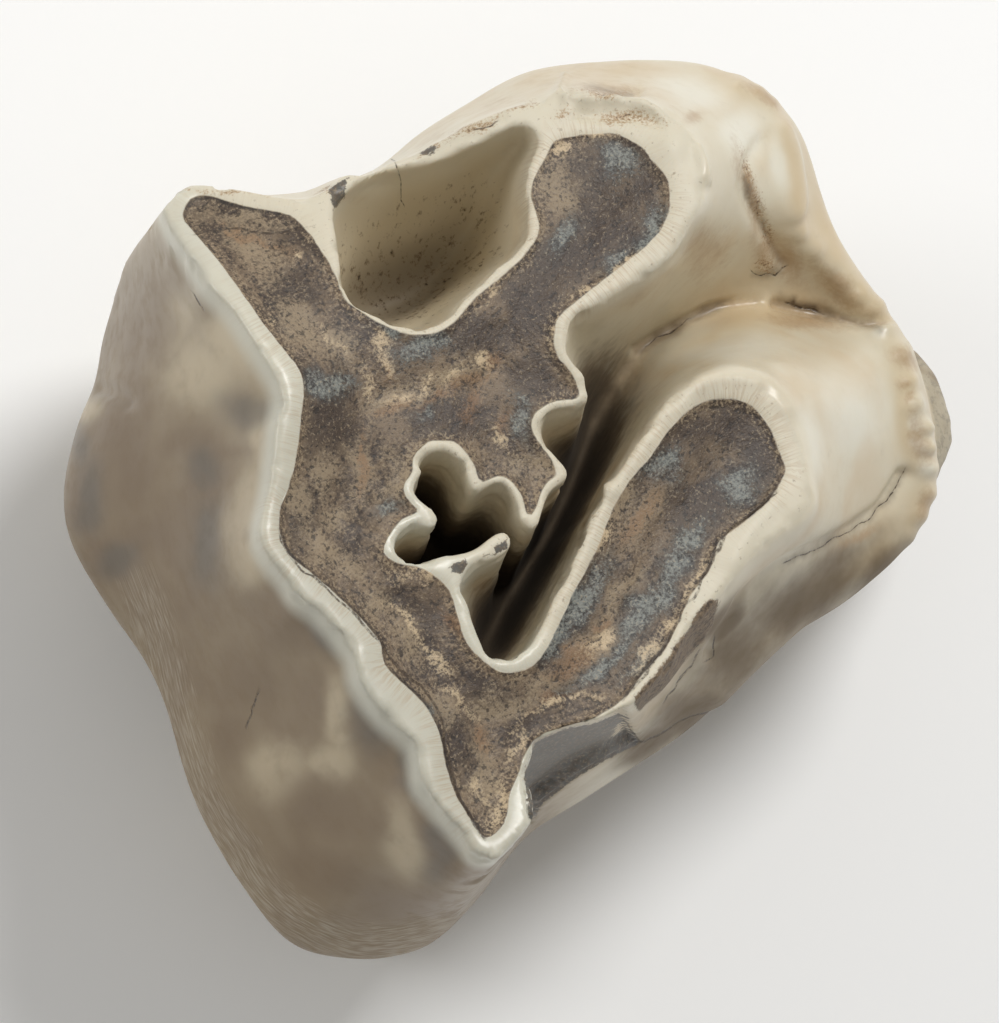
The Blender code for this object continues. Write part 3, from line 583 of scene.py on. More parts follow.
def shapeSwell():
    # the splayed tongue root, a ball drawn out to a pile of ovals
    bpy.ops.mesh.primitive_uv_sphere_add(segments=64, ring_count=32, radius=mm)
    swell = bpy.context.object
    ball = readPlaces(swell)
    ovals = np.array(swellOvals)
    height = ovals[0, 0] + (ball[:, 2] + 1) / 2 * (ovals[-1, 0] + swellShape["past"] - ovals[0, 0])
    x, y, width, length = (np.interp(height, ovals[:, 0], ovals[:, k]) for k in (1, 2, 3, 4))
    turn = np.arctan2(ball[:, 1], ball[:, 0])
    waves = np.cos(swellShape["waves"] * turn + swellShape["waveStart"])
    reach = np.minimum(np.hypot(ball[:, 0], ball[:, 1]) * swellShape["fullness"], 1)
    reach = reach * (1 + swellShape["waveShare"] * waves)
    writePlaces(swell, np.column_stack([x + width * reach * np.cos(turn),
                                        y + length * reach * np.sin(turn), height]))
    return swell


def applyAll(thing):
    makeActive(thing)
    for modifier in list(thing.modifiers):
        bpy.ops.object.modifier_apply(modifier=modifier.name)


def evenSkin(thing):
    remesh = thing.modifiers.new("skin", "REMESH")
    remesh.mode = "VOXEL"
    remesh.voxel_size = skin["voxel"] * mm
    soften = thing.modifiers.new("soften", "SMOOTH")
    soften.factor = 0.5
    soften.iterations = 2
    applyAll(thing)


def edgeEnds(thing):
    ends = np.empty(len(thing.data.edges) * 2, np.int32)
    thing.data.edges.foreach_get("vertices", ends)
    return ends.reshape(-1, 2)


def neighbourMean(values, ends):
    # the mean of each vertex's neighbours
    count = len(values)
    first, second = ends.T
    links = np.bincount(first, minlength=count) + np.bincount(second, minlength=count)
    columns = values.reshape(count, -1).T
    total = [np.bincount(first, column[second], count) + np.bincount(second, column[first], count)
             for column in columns]
    return (np.array(total) / np.maximum(links, 1)).T.reshape(values.shape)


def softened(values, ends, rounds, weights=None):
    share = 0.5 if weights is None else 0.5 * weights.reshape(-1, *[1] * (values.ndim - 1))
    for _ in range(rounds):
        values = values + (neighbourMean(values, ends) - values) * share
    return values


def traced(seen, line):
    # distance in picture units from picture points to a rounded traced line
    return nearest(seen, rounded(line, closed=False), closed=False)[0]


def besideLine(seen, line):
    # signed distance to an open traced line, and how far along it the nearest point is
    line = withLength(rounded(line, closed=False))
    best = np.full(len(seen), np.inf)
    side = np.zeros(len(seen))
    along = np.zeros(len(seen))
    for start, end in zip(line[:-1], line[1:]):
        span = end[:2] - start[:2]
        length = max(math.hypot(*span), 1e-9)
        offset = seen - start[:2]
        share = np.clip(offset @ span / length ** 2, 0, 1)
        gap = np.hypot(*(offset - share[:, None] * span).T)
        closer = gap < best
        best[closer] = gap[closer]
        cross = (span[0] * offset[:, 1] - span[1] * offset[:, 0]) / length
        side[closer] = cross[closer]
        along[closer] = start[2] + share[closer] * (end[2] - start[2])
    return side, best, along


# relief of the crown: lines and spots traced on the picture, rises in millimetres
relief = {
    # x, y, radius, rise
    "knobs": [
        (736, 92, 10, 0.16), (755, 98, 9, 0.20), (768, 108, 9, 0.14), (787, 215, 9, 0.28),
        (793, 231, 9, 0.28), (811, 247, 10, 0.26), (828, 263, 9, 0.16), (842, 279, 9, 0.18),
        (856, 295, 10, 0.26), (872, 308, 10, 0.26), (881, 334, 9, 0.36), (897, 356, 10, 0.26),
        (903, 384, 9, 0.30), (908, 406, 10, 0.34), (919, 428, 8, 0.42), (920, 447, 8, 0.42),
        (922, 467, 9, 0.38), (925, 492, 9, 0.20), (916, 514, 9, 0.16), (903, 535, 9, 0.14),
        (672, 146, 18, 0.35), (610, 489, 8, 0.35), (640, 108, 7, 0.25),
        (585, 101, 7, 0.22), (612, 99, 7, 0.20), (560, 90, 6, 0.20),
    ],
    # points, width, rise
    "folds": [
        ([(736, 92), (762, 112), (782, 150), (787, 190), (795, 230), (826, 262), (855, 296),
          (882, 330), (898, 360), (910, 410), (920, 450), (921, 485), (906, 520), (880, 552),
          (845, 578), (805, 603), (775, 632), (745, 662), (715, 693)], 16, 0.45),
        ([(775, 137), (783, 158), (788, 182), (789, 202)], 13, 0.42),
        ([(760, 140), (750, 165), (746, 190), (757, 215), (771, 240), (784, 262)], 7, -0.32),
        ([(903, 474), (890, 497), (878, 512), (852, 530), (826, 544), (793, 560), (777, 570),
          (747, 596), (734, 619), (711, 655)], 7, -0.45),
        ([(566, 98), (585, 100), (620, 101), (650, 108), (664, 119)], 4, 0.30),
        ([(566, 87), (590, 90), (618, 91), (640, 90)], 5, -0.34),
        ([(580, 113), (610, 115), (640, 116), (660, 123)], 6, -0.34),
        ([(697, 148), (703, 165), (706, 182)], 4, 0.30),
        ([(566, 76), (561, 90), (567, 104), (574, 114)], 3, 0.24),
        ([(636, 350), (668, 330), (700, 313), (723, 305), (757, 301)], 5, -0.25),
        ([(776, 303), (800, 308), (830, 314), (858, 322), (880, 326)], 5, -0.4),
        ([(700, 383), (720, 372), (745, 371), (770, 384), (790, 408)], 9, 0.20),
        ([(700, 640), (690, 665), (668, 694), (650, 708)], 6, -0.25),
        ([(734, 560), (752, 528), (775, 500)], 9, 0.14),
        ([(98, 388), (112, 392), (126, 402)], 8, -0.3),
        ([(418, 152), (440, 143), (470, 129), (500, 117)], 5, -0.22),
    ],
    "fade": (12.0, 13.5),
    # rise, and for each layer its share, size of lump and seed
    "unevenness": (0.045, [(1, 3.5, 1), (0.4, 1.4, 2)]),
    "dentineGrain": (0.04, [(1, 0.9, 3), (0.8, 0.45, 4)]),
    "rootGrain": (0.22, [(1, 1.6, 7), (0.5, 0.7, 8)]),
    "rootTop": (8.5, 11.5),
    "rootStretch": (1, 1, 0.35),
    "chips": {"depth": 0.14, "size": 0.8, "seed": 6, "reach": 0.3, "range": (0.15, 0.6)},
}
# places where dark dentine or cement lies bare: outline on the picture, depth of the break
breaks = [
    ([(523, 775), (535, 742), (564, 729), (597, 722), (626, 709), (639, 743), (607, 759),
      (574, 779), (541, 805), (532, 824)], 0.8),
    ([(328, 187), (349, 177), (345, 196), (334, 211)], 0.12),
    ([(484, 557), (492, 549), (503, 541), (508, 539), (507, 549), (495, 555)], 0.1),
    ([(447, 571), (456, 562), (470, 560), (462, 574)], 0.1),
    ([(420, 153), (430, 145), (438, 147), (432, 156)], 0.15),
]


def inBreaks(seen, soft):
    # how far inside the nearest break picture points lie, and its depth
    inside = np.full(len(seen), -soft)
    depth = np.zeros(len(seen))
    for outline, sink in breaks:
        gap = signedDistance(seen, np.array(outline, float))
        closer = gap > inside
        inside[closer] = gap[closer]
        depth[closer] = sink
    return inside, depth


def lumpy(places, name, where=1.0):
    # layers of smooth noise, as relief gives them
    rise, layers = relief[name]
    return rise * where * sum(share * grain(places, size, seed) for share, size, seed in layers)


def rimDistance(flat, crown):
    # distance to the nearest edge of the worn face or of the rear pit
    return np.minimum(nearest(flat, crown.face[:, :2])[0], nearest(flat, crown.rearPit[:, :2])[0])


def carveRelief(thing, crown):
    places = readPlaces(thing)
    normals = readNormals(thing)
    seen = picturePoints(places)
    rise = np.zeros(len(places))
    for x, y, radius, height in relief["knobs"]:
        square = ((seen[:, 0] - x) ** 2 + (seen[:, 1] - y) ** 2) / radius ** 2
        rise += height * np.exp(-1.2 * square)
    for line, width, height in relief["folds"]:
        rise += height * np.exp(-(traced(seen, line) / width) ** 2)
    inside, depth = inBreaks(seen, 2)
    rise -= depth * softStep(inside, -2, 4)
    rise *= softStep(normals @ toward, 0.0, 0.2) * softStep(places[:, 2], *relief["fade"])
    flat = places[:, :2]
    onTop = places[:, 2] > faceLowest
    rise += lumpy(places, "unevenness")
    rise += lumpy(places, "dentineGrain", onTop & within(flat, crown.dentine))
    chips = relief["chips"]
    chipped = softStep(grain(places, chips["size"], chips["seed"]), *chips["range"])
    chipped = chipped * np.exp(-(rimDistance(flat, crown) / chips["reach"]) ** 2) * onTop
    rise -= chips["depth"] * chipped
    low = 1 - softStep(places[:, 2], *relief["rootTop"])
    rise += lumpy(places * relief["rootStretch"], "rootGrain", low)
    writePlaces(thing, places + normals * rise[:, None])


def smoothWalls(thing, crown):
    # takes the creases out of walls and floors and keeps the rims of the worn face
    places = readPlaces(thing)
    flat = places[:, :2]
    onFace = within(flat, crown.face) & (places[:, 2] > faceLowest) & ~within(flat, crown.rearPit)
    weights = np.where(onFace, 0.0, softStep(rimDistance(flat, crown), *skin["rimKept"]))
    writePlaces(thing, softened(places, edgeEnds(thing), skin["wallRounds"], weights))


def cutRoots(thing):
    # flat on the plane that the tooth stands on
    makeActive(thing)
    bpy.ops.object.mode_set(mode="EDIT")
    bpy.ops.mesh.select_all(action="SELECT")
    bpy.ops.mesh.bisect(plane_co=(0, 0, 0), plane_no=(0, 0, 1), use_fill=True, clear_inner=True,
                        threshold=0.001 * mm)
    bpy.ops.mesh.select_all(action="SELECT")
    bpy.ops.mesh.quads_convert_to_tris()
    bpy.ops.mesh.normals_make_consistent(inside=False)
    bpy.ops.object.mode_set(mode="OBJECT")


def thinOut(thing):
    # the underside gives up most of the triangles, the worn face few
    places = readPlaces(thing)
    group = thing.vertex_groups.new(name="thin")
    levels = np.round(1 - skin["spared"] * softStep(places[:, 2], *skin["sparedFrom"]), 1)
    for level in np.unique(levels):
        group.add(np.nonzero(levels == level)[0].tolist(), float(level), "REPLACE")
    thin = thing.modifiers.new("thin", "DECIMATE")
    thin.ratio = min(1.0, skin["triangles"] / len(thing.data.polygons))
    thin.vertex_group = group.name
    applyAll(thing)
    thing.vertex_groups.clear()
    places = readPlaces(thing)
    places[:, 2] = np.maximum(places[:, 2], 0)
    writePlaces(thing, places)


# stains and marks, among them painted shade and painted light: picture x, picture y, half width, half
# height, turn in degrees
dentineStains = {
    "cream": [
        (272, 318, 6, 5, 60), (287, 264, 5, 5, 0), (336, 342, 24, 3, 50), (367, 382, 5, 16, -20),
        (381, 350, 8, 20, -25), (400, 398, 16, 4, -25), (430, 385, 14, 5, -30), (460, 377, 14, 5, -35),
        (486, 362, 9, 5, -50), (503, 431, 19, 5, 55), (405, 618, 30, 4, 52), (436, 655, 24, 5, 55),
        (495, 812, 7, 30, 5), (482, 790, 5, 14, 0), (600, 127, 46, 5, 4), (668, 222, 26, 4, -65),
        (630, 262, 34, 5, -38), (590, 288, 24, 4, -30), (598, 640, 24, 6, -45), (682, 602, 60, 6, -58),
        (648, 656, 34, 6, -48), (735, 528, 34, 5, -38), (607, 540, 6, 20, 25), (425, 574, 34, 5, 5),
        (560, 706, 40, 5, -18), (470, 712, 14, 6, 40), (514, 748, 5, 24, 15), (676, 165, 8, 12, 0),
        (500, 290, 26, 3, -40), (553, 330, 5, 16, 0), (455, 690, 16, 5, 30), (560, 150, 10, 6, 0),
    ],
    "dust": [
        (325, 480, 12, 26, 10), (298, 505, 9, 20, 0), (335, 520, 20, 12, 0), (320, 546, 30, 12, 40),
        (350, 565, 24, 12, 40), (360, 470, 10, 30, 0), (543, 466, 15, 16, 20), (560, 187, 20, 32, 0),
        (250, 250, 44, 16, 50), (300, 325, 40, 14, 55), (400, 395, 40, 12, -22), (460, 378, 36, 14, -22),
        (382, 598, 20, 16, 40), (438, 703, 20, 18, 20), (620, 596, 44, 9, -55), (540, 690, 30, 10, -20),
        (500, 250, 44, 10, -35), (640, 520, 50, 9, -55), (620, 500, 12, 32, 30), (410, 640, 34, 14, 50),
        (340, 345, 30, 12, 50), (484, 775, 14, 40, 0), (505, 705, 40, 12, -10), (600, 640, 34, 14, -45),
        (450, 455, 26, 8, 0), (395, 480, 12, 26, 0), (520, 470, 12, 16, 20), (250, 218, 60, 6, 4),
    ],
    "orange": [
        (398, 404, 24, 5, -24), (440, 398, 26, 5, -14), (470, 384, 26, 7, -24), (494, 360, 12, 6, -50),
        (362, 460, 4, 34, 0), (505, 420, 12, 7, 52), (640, 520, 44, 6, -55), (668, 470, 24, 5, -40),
        (575, 660, 36, 8, -42), (600, 626, 22, 5, -50), (485, 740, 8, 16, 0), (385, 368, 5, 14, 0),
        (470, 404, 6, 12, 20), (450, 620, 9, 24, -30), (560, 700, 26, 5, -20), (250, 240, 40, 5, 30),
    ],
    "blue": [
        (422, 350, 30, 12, -8), (330, 384, 26, 12, 10), (385, 332, 16, 7, 0), (618, 160, 20, 22, 0),
        (648, 235, 12, 28, 30), (618, 262, 14, 8, -40), (578, 604, 50, 13, -56), (646, 606, 62, 12, -54),
        (684, 540, 34, 12, -45), (672, 568, 16, 12, -45), (735, 482, 24, 22, -30), (665, 462, 18, 22, 30),
        (600, 664, 44, 9, -40), (430, 412, 12, 8, 0), (418, 700, 14, 9, 30), (560, 640, 14, 26, 30),
        (470, 480, 6, 14, 0), (640, 665, 30, 7, -44), (390, 508, 14, 7, 0), (520, 420, 10, 24, -20),
        (560, 240, 12, 24, 20),
    ],
    # dark dentine stains; those at the front tongue cusp's top end are painted shadow under its enamel lip
    "dark": [
        (235, 213, 52, 10, 4), (304, 240, 22, 14, 40), (325, 190, 9, 12, 0), (600, 215, 34, 56, 10),
        (648, 185, 12, 36, 0), (715, 425, 50, 22, -10), (765, 455, 14, 32, 0), (470, 335, 56, 16, -10),
        (330, 425, 22, 40, 0), (300, 520, 14, 26, 0), (500, 700, 34, 14, 20), (440, 730, 10, 22, 0),
        (475, 765, 10, 26, 10), (455, 418, 34, 14, 0), (530, 300, 30, 30, 0), (430, 150, 12, 6, -20),
        (560, 590, 8, 34, 30), (655, 440, 22, 28, 30), (430, 612, 14, 22, 40), (497, 548, 14, 7, -30),
        (560, 265, 26, 30, 30), (400, 590, 14, 8, 40), (545, 420, 10, 34, 0), (535, 380, 26, 20, 0),
        (700, 500, 34, 20, -20), (540, 262, 30, 28, 0), (570, 640, 34, 8, -50), (455, 745, 12, 24, 0),
        (520, 725, 14, 14, 0), (300, 290, 10, 22, -35), (350, 640, 20, 8, 50), (640, 480, 12, 20, 30),
    ],
}
enamelStains = {
    # grey smudges on the cheek wall; the one below the crest's corner is painted shade of a hollow
    "greySmudgeAndShade": [
        (252, 410, 32, 17, 14), (374, 722, 28, 22, 40), (440, 846, 16, 32, 10), (322, 632, 10, 24, -30),
        (366, 690, 18, 10, 20), (92, 500, 16, 34, 0), (414, 790, 18, 10, 10), (122, 560, 18, 16, 0),
        (205, 540, 18, 40, 0), (200, 470, 16, 20, 0), (80, 450, 10, 20, 0), (410, 760, 12, 20, 0),
    ],
    "brownSmudge": [
        (178, 258, 32, 46, 24), (160, 330, 20, 30, 0), (204, 300, 16, 22, 0),
        (150, 290, 26, 62, 14), (112, 432, 24, 20, 0), (236, 270, 26, 14, 50), (80, 500, 16, 40, 0),
        (296, 622, 40, 30, -20), (186, 446, 36, 14, -4), (216, 455, 34, 8, -5), (240, 680, 34, 40, 0),
        (138, 300, 18, 56, 10), (330, 810, 56, 30, 20), (400, 905, 44, 22, 0), (140, 470, 22, 36, 0),
        (176, 232, 8, 26, -30), (320, 870, 40, 26, 0), (262, 606, 26, 20, 0), (150, 540, 26, 20, 0),
        (100, 560, 18, 20, 0), (230, 740, 20, 30, 0),
    ],
    # painted light: pale patches where light falls on the cheek wall
    "paintedLight": [
        (244, 336, 14, 40, -34),
        (228, 338, 54, 22, 58), (252, 530, 22, 60, 0), (334, 712, 12, 36, 0), (402, 842, 16, 36, -15),
        (200, 372, 36, 36, 0), (84, 408, 12, 14, 0), (282, 772, 34, 30, 0), (262, 440, 10, 44, 0),
        (172, 330, 14, 36, 10), (330, 760, 22, 20, 0),
    ],
    "tan": [
        (908, 358, 15, 11, 0), (902, 384, 7, 7, 0), (912, 398, 6, 8, 0), (790, 262, 14, 28, -30),
        (765, 98, 26, 7, 35), (765, 393, 26, 7, 42), (725, 384, 36, 6, 0), (797, 492, 14, 13, 0),
        (750, 200, 9, 60, -10), (640, 440, 5, 44, 35), (655, 400, 7, 30, 40), (810, 322, 44, 8, 8),
        (925, 570, 14, 24, 30), (860, 540, 24, 8, -30), (430, 140, 34, 8, -30), (420, 400, 5, 6, 0),
        (600, 90, 40, 10, 3), (622, 112, 46, 12, 6), (488, 108, 24, 8, -22), (290, 198, 70, 6, 2),
        (490, 590, 20, 26, -20), (784, 425, 7, 34, -20), (172, 202, 14, 10, 0), (686, 178, 12, 8, 0),
        (928, 505, 8, 20, 0), (560, 598, 7, 30, 28), (690, 120, 10, 10, 0), (560, 110, 16, 20, 0),
        (770, 250, 14, 16, 0), (610, 480, 7, 14, 0), (590, 530, 7, 30, 25), (920, 440, 10, 30, 0),
        (840, 290, 40, 12, 35), (700, 250, 30, 30, 0), (640, 290, 30, 8, -30), (470, 650, 8, 20, 0),
    ],
    "pitted": [
        (750, 172, 6, 32, -6), (756, 206, 9, 18, -20), (768, 234, 6, 18, -25), (770, 262, 10, 10, 0),
        (602, 90, 34, 5, 3), (630, 115, 38, 8, 6), (430, 150, 16, 7, -28), (560, 116, 12, 8, 0),
        (470, 128, 40, 7, -26), (515, 104, 22, 7, -20), (240, 190, 70, 4, 3),
        (320, 194, 20, 5, -20),
    ],
    # milky enamel with painted highlights on the ledge beads, the glossy facets and the bulges
    "milkAndHighlight": [
        (752, 530, 38, 13, -42), (690, 200, 12, 22, 0), (662, 262, 40, 8, -42), (600, 300, 24, 6, -25),
        (520, 800, 12, 28, 0), (702, 590, 8, 26, 30), (690, 92, 36, 20, 10), (800, 60, 20, 20, 0),
        (850, 420, 30, 34, 0), (720, 352, 46, 12, -10), (684, 142, 14, 12, 0), (782, 168, 9, 34, -5),
        (805, 440, 16, 36, 0), (745, 130, 22, 26, 0), (606, 790, 62, 9, -34), (540, 640, 6, 20, 20),
        (880, 334, 7, 7, 0), (919, 428, 7, 8, 0), (920, 447, 7, 7, 0), (923, 466, 7, 8, 0),
    ],
    # painted shade on the front wall, over its darker brown enamel
    "shade": [
        (805, 600, 100, 34, -33), (735, 655, 64, 38, -42), (690, 712, 54, 28, -38),
        (722, 620, 22, 34, 30), (880, 578, 54, 24, -38), (650, 740, 40, 16, -34),
    ],
    "honey": [
        (700, 88, 70, 24, 8), (630, 72, 70, 9, 0), (795, 175, 16, 50, -8), (760, 306, 70, 22, 0),
        (905, 400, 12, 60, -4), (926, 520, 16, 44, 0), (768, 396, 24, 8, 40), (545, 78, 50, 10, -8),
        (640, 290, 50, 12, -32), (866, 296, 34, 18, 40), (834, 236, 14, 50, -28), (452, 118, 60, 12, -32),
        (250, 190, 80, 6, 3), (170, 215, 10, 20, 0), (690, 350, 40, 8, -40), (880, 560, 40, 10, -30),
    ],
}
# stains, painted shade and painted light that go on down the steep walls
wallStains = ("shade", "greySmudgeAndShade", "brownSmudge", "paintedLight")
# where brown dentine lies bare along the front wall
bareFront = [(634, 703), (640, 690), (657, 670), (677, 643), (695, 619), (709, 599), (720, 601),
             (713, 624), (696, 650), (678, 682), (660, 703), (640, 711)]
# where the enamel's edge shows fine cross lines, and where dark dirt lies along the dentine's edge
edgeMarks = {
    "crossLines": [
        (262, 520, 20, 60, 0), (300, 600, 60, 30, 45), (380, 690, 60, 30, 50), (435, 770, 24, 60, -10),
        (745, 385, 60, 24, 15), (790, 440, 24, 50, -10), (640, 420, 24, 60, 35), (620, 270, 70, 20, -38),
        (535, 180, 14, 60, 0), (690, 225, 20, 40, 20), (270, 380, 24, 60, -20), (565, 130, 30, 16, 0),
        (795, 495, 20, 16, 0), (590, 540, 20, 60, 28),
    ],
    "edgeDirt": [
        (292, 560, 30, 14, 45), (360, 622, 50, 14, 48), (410, 688, 30, 14, 48), (446, 750, 12, 50, -5),
        (470, 812, 14, 26, -25), (700, 560, 16, 40, 30), (745, 515, 34, 14, -38), (650, 665, 34, 14, -48),
        (220, 205, 50, 8, 4),
    ],
}
# hair cracks and dark seams: half width in picture units, points
cracks = [
    (0.6, [(903, 473), (890, 497), (880, 508), (870, 518), (850, 530), (835, 538), (800, 556),
           (786, 562)]),
    (1.3, [(770, 497), (760, 505), (745, 518), (730, 530), (720, 545), (712, 562), (700, 585),
           (690, 600), (678, 620), (665, 645), (650, 665), (628, 694)]),
    (0.8, [(200, 232), (230, 229), (262, 233), (303, 228)]),
    (1.2, [(283, 540), (292, 560), (313, 577), (346, 606), (379, 640), (400, 668), (425, 690),
           (441, 716), (447, 750), (455, 785), (470, 815), (482, 832)]),
    (0.8, [(715, 640), (713, 655), (707, 660)]),
    (0.9, [(626, 723), (639, 741), (656, 736), (688, 717), (708, 712)]),
    (0.6, [(755, 272), (762, 275), (768, 272), (773, 276), (780, 269), (785, 266)]),
    (0.9, [(256, 696), (252, 704)]),
    (0.9, [(251, 712), (248, 722)]),
    (0.6, [(494, 124), (485, 128), (474, 130)]),
    (0.5, [(394, 161), (398, 172), (399, 188), (402, 204)]),
    (0.5, [(650, 343), (668, 333), (690, 320)]),
    (0.9, [(790, 306), (803, 309), (816, 312)]),
    (0.8, [(697, 652), (685, 672), (665, 697)]),
    (0.7, [(196, 296), (202, 306)]),
]
# painted shade in soft creases and under enamel lips: half width in picture units, strength, points
creases = [
    (7, 0.55, [(640, 350), (668, 332), (700, 315), (723, 306)]),
    (9, 0.5, [(778, 303), (800, 306), (830, 313)]),
    (5, 0.95, [(790, 303), (803, 308), (818, 311)]),
    (6, 0.45, [(830, 314), (858, 322), (882, 328)]),
    (5, 0.5, [(756, 273), (768, 274), (778, 270)]),
    (5, 0.45, [(903, 473), (890, 497), (880, 508), (870, 518), (850, 530), (835, 538), (800, 556),
               (786, 562)]),
    (6, 0.6, [(420, 156), (432, 150), (455, 141), (475, 133), (494, 126)]),
    (4, 0.6, [(745, 178), (750, 196), (757, 214), (766, 232)]),
    (5, 0.4, [(170, 202), (200, 230), (250, 229), (300, 232)]),
    (6, 0.5, [(566, 96), (590, 90), (612, 92), (630, 97)]),
]
# how what is drawn is moved about, so that it loses its even outline: size of lump, reach, seed
waverings = {
    "dentine": [(24, 9, 20), (9, 5, 30)],
    "enamel": [(30, 7, 50)],
    "cracks": [(16, 2.4, 60), (6, 1.4, 70)],
}
# where on the picture taupe takes over from ivory, and where the pale ring is the cheek's
cheekSide = {"across": (-0.80, 0.60), "enamel": (-60, 110), "ring": (-70, -20)}
# where on the picture the painted shade deep in the valley ends toward its mouth
valleyMouth = {"slant": 0.35, "range": (540, 400)}
# rough fibrous strip low on the cheek wall
fibres = {
    "line": [(140, 590), (158, 640), (172, 700), (186, 750), (208, 805), (236, 850), (266, 895),
             (314, 930), (372, 946), (450, 932)],
    "halfWidth": 27,
    "unit": 20,
}


def spotted(seen, spots):
    # how strongly picture points lie in soft turned ovals
    strength = np.zeros(len(seen))
    for x, y, halfWidth, halfHeight, turn in spots:
        cosine, sine = math.cos(math.radians(turn)), math.sin(math.radians(turn))
        offset = seen - (x, y)
        across = (offset[:, 0] * cosine + offset[:, 1] * sine) / halfWidth
        along = (offset[:, 1] * cosine - offset[:, 0] * sine) / halfHeight
        strength = np.maximum(strength, np.exp(-0.7 * (across ** 2 + along ** 2)))
    return strength


def wavering(seen, kind):
    for size, reach, seed in waverings[kind]:
        seen = seen + reach * np.column_stack([grain(seen, size, seed), grain(seen, size, seed + 1)])
    return seen


def keep(thing, name, values):
    # stores one number, or three, for each vertex
    kind, part = ("FLOAT", "value") if values.ndim == 1 else ("FLOAT_VECTOR", "vector")
    layer = thing.data.attributes.new(name, kind, "POINT")
    layer.data.foreach_set(part, values.astype(np.float32).ravel())


def markFace(thing, crown, places):
    # distances to the edges of dentine and worn face, in millimetres, positive inside;
    # outside, the way down a wall counts too
    flat = places[:, :2]
    onTop = places[:, 2] > faceLowest
    drop = 0.35 * np.maximum(crown.wear(flat) - places[:, 2] - 0.5, 0)
    inPit = within(flat, crown.rearPit)
    face = np.where(onTop & ~inPit, signedDistance(flat, crown.face), -5.0)
    pitGap = nearest(flat, crown.rearPit[:, :2])[0]
    face = np.where(onTop & inPit, -pitGap, np.where(face > 0, np.minimum(face, pitGap), face))
    low = drop > 0.4
    keep(thing, "faceDepth", np.where((face < 0) | low, -np.hypot(face, drop), face))
    dentine = np.where(onTop, signedDistance(flat, crown.dentine), -5.0)
    keep(thing, "dentineDepth", np.where((dentine < 0) | low, -np.hypot(dentine, drop), dentine))
    edge = withLength(np.vstack([crown.dentine[:, :2], crown.dentine[:1, :2]]))
    keep(thing, "rimAlong", nearest(flat, edge, closed=False)[1][:, 0])


def markHollows(thing, crown, places, seen):
    # how deep a place lies in a pit or valley, from 0 to 1, and how far it is to the roots
    flat = places[:, :2]
    below = crown.wear(flat) - places[:, 2]
    hollow = np.full(len(flat), np.inf)
    for line in crown.hollows:
        hollow = np.minimum(hollow, nearest(flat, line, closed=False)[0])
    inValley = softStep(nearest(flat, crown.girth)[0] - hollow, -1.0, 2.0)
    inValley *= ~within(flat, crown.face) & (places[:, 2] > hollowLowest)
    closed = softStep(seen[:, 0] - valleyMouth["slant"] * seen[:, 1], *valleyMouth["range"])
    inPit = within(flat, crown.rearPit) & (places[:, 2] > hollowLowest)
    keep(thing, "valleyDepth", softStep(below, 1.0, 11.0) * inValley * closed)
    keep(thing, "pitDepth", softStep(below, 1.0, 14.0) * inPit)
    low = 1 - softStep(places[:, 2] + 0.7 * grain(places, 3, 5), 9.6, 11.6)
    outside = softStep(-signedDistance(flat, crown.girth), 0.25, 0.6)
    keep(thing, "rootShare", np.maximum(low, outside))
    core = np.full(len(flat), -9.0)
    for outline in rootOutlines:
        core = np.maximum(core, signedDistance(flat, rounded(outline)))
    keep(thing, "rootCore", np.where(places[:, 2] < 0.4, core, -9.0))


def markCracks(thing, bent, facing):
    # the side of and the distance to the nearest crack, in its half widths, and the painted shade of the
    # soft creases
    side = np.full(len(bent), 60.0)
    near = np.full(len(bent), 60.0)
    for halfWidth, line in cracks:
        lineSide, gap, _ = besideLine(bent, line)
        closer = gap / halfWidth < near
        side[closer] = (lineSide / halfWidth)[closer]
        near[closer] = (gap / halfWidth)[closer]
    keep(thing, "crackSide", side)
    keep(thing, "crackNear", softStep(near, 9, 4) * (facing > 0.1))
    crease = np.zeros(len(bent))
    for halfWidth, strength, line in creases:
        _, gap, _ = besideLine(bent, line)
        crease = np.maximum(crease, strength * np.exp(-(gap / halfWidth) ** 2))
    keep(thing, "crease", crease * facing)


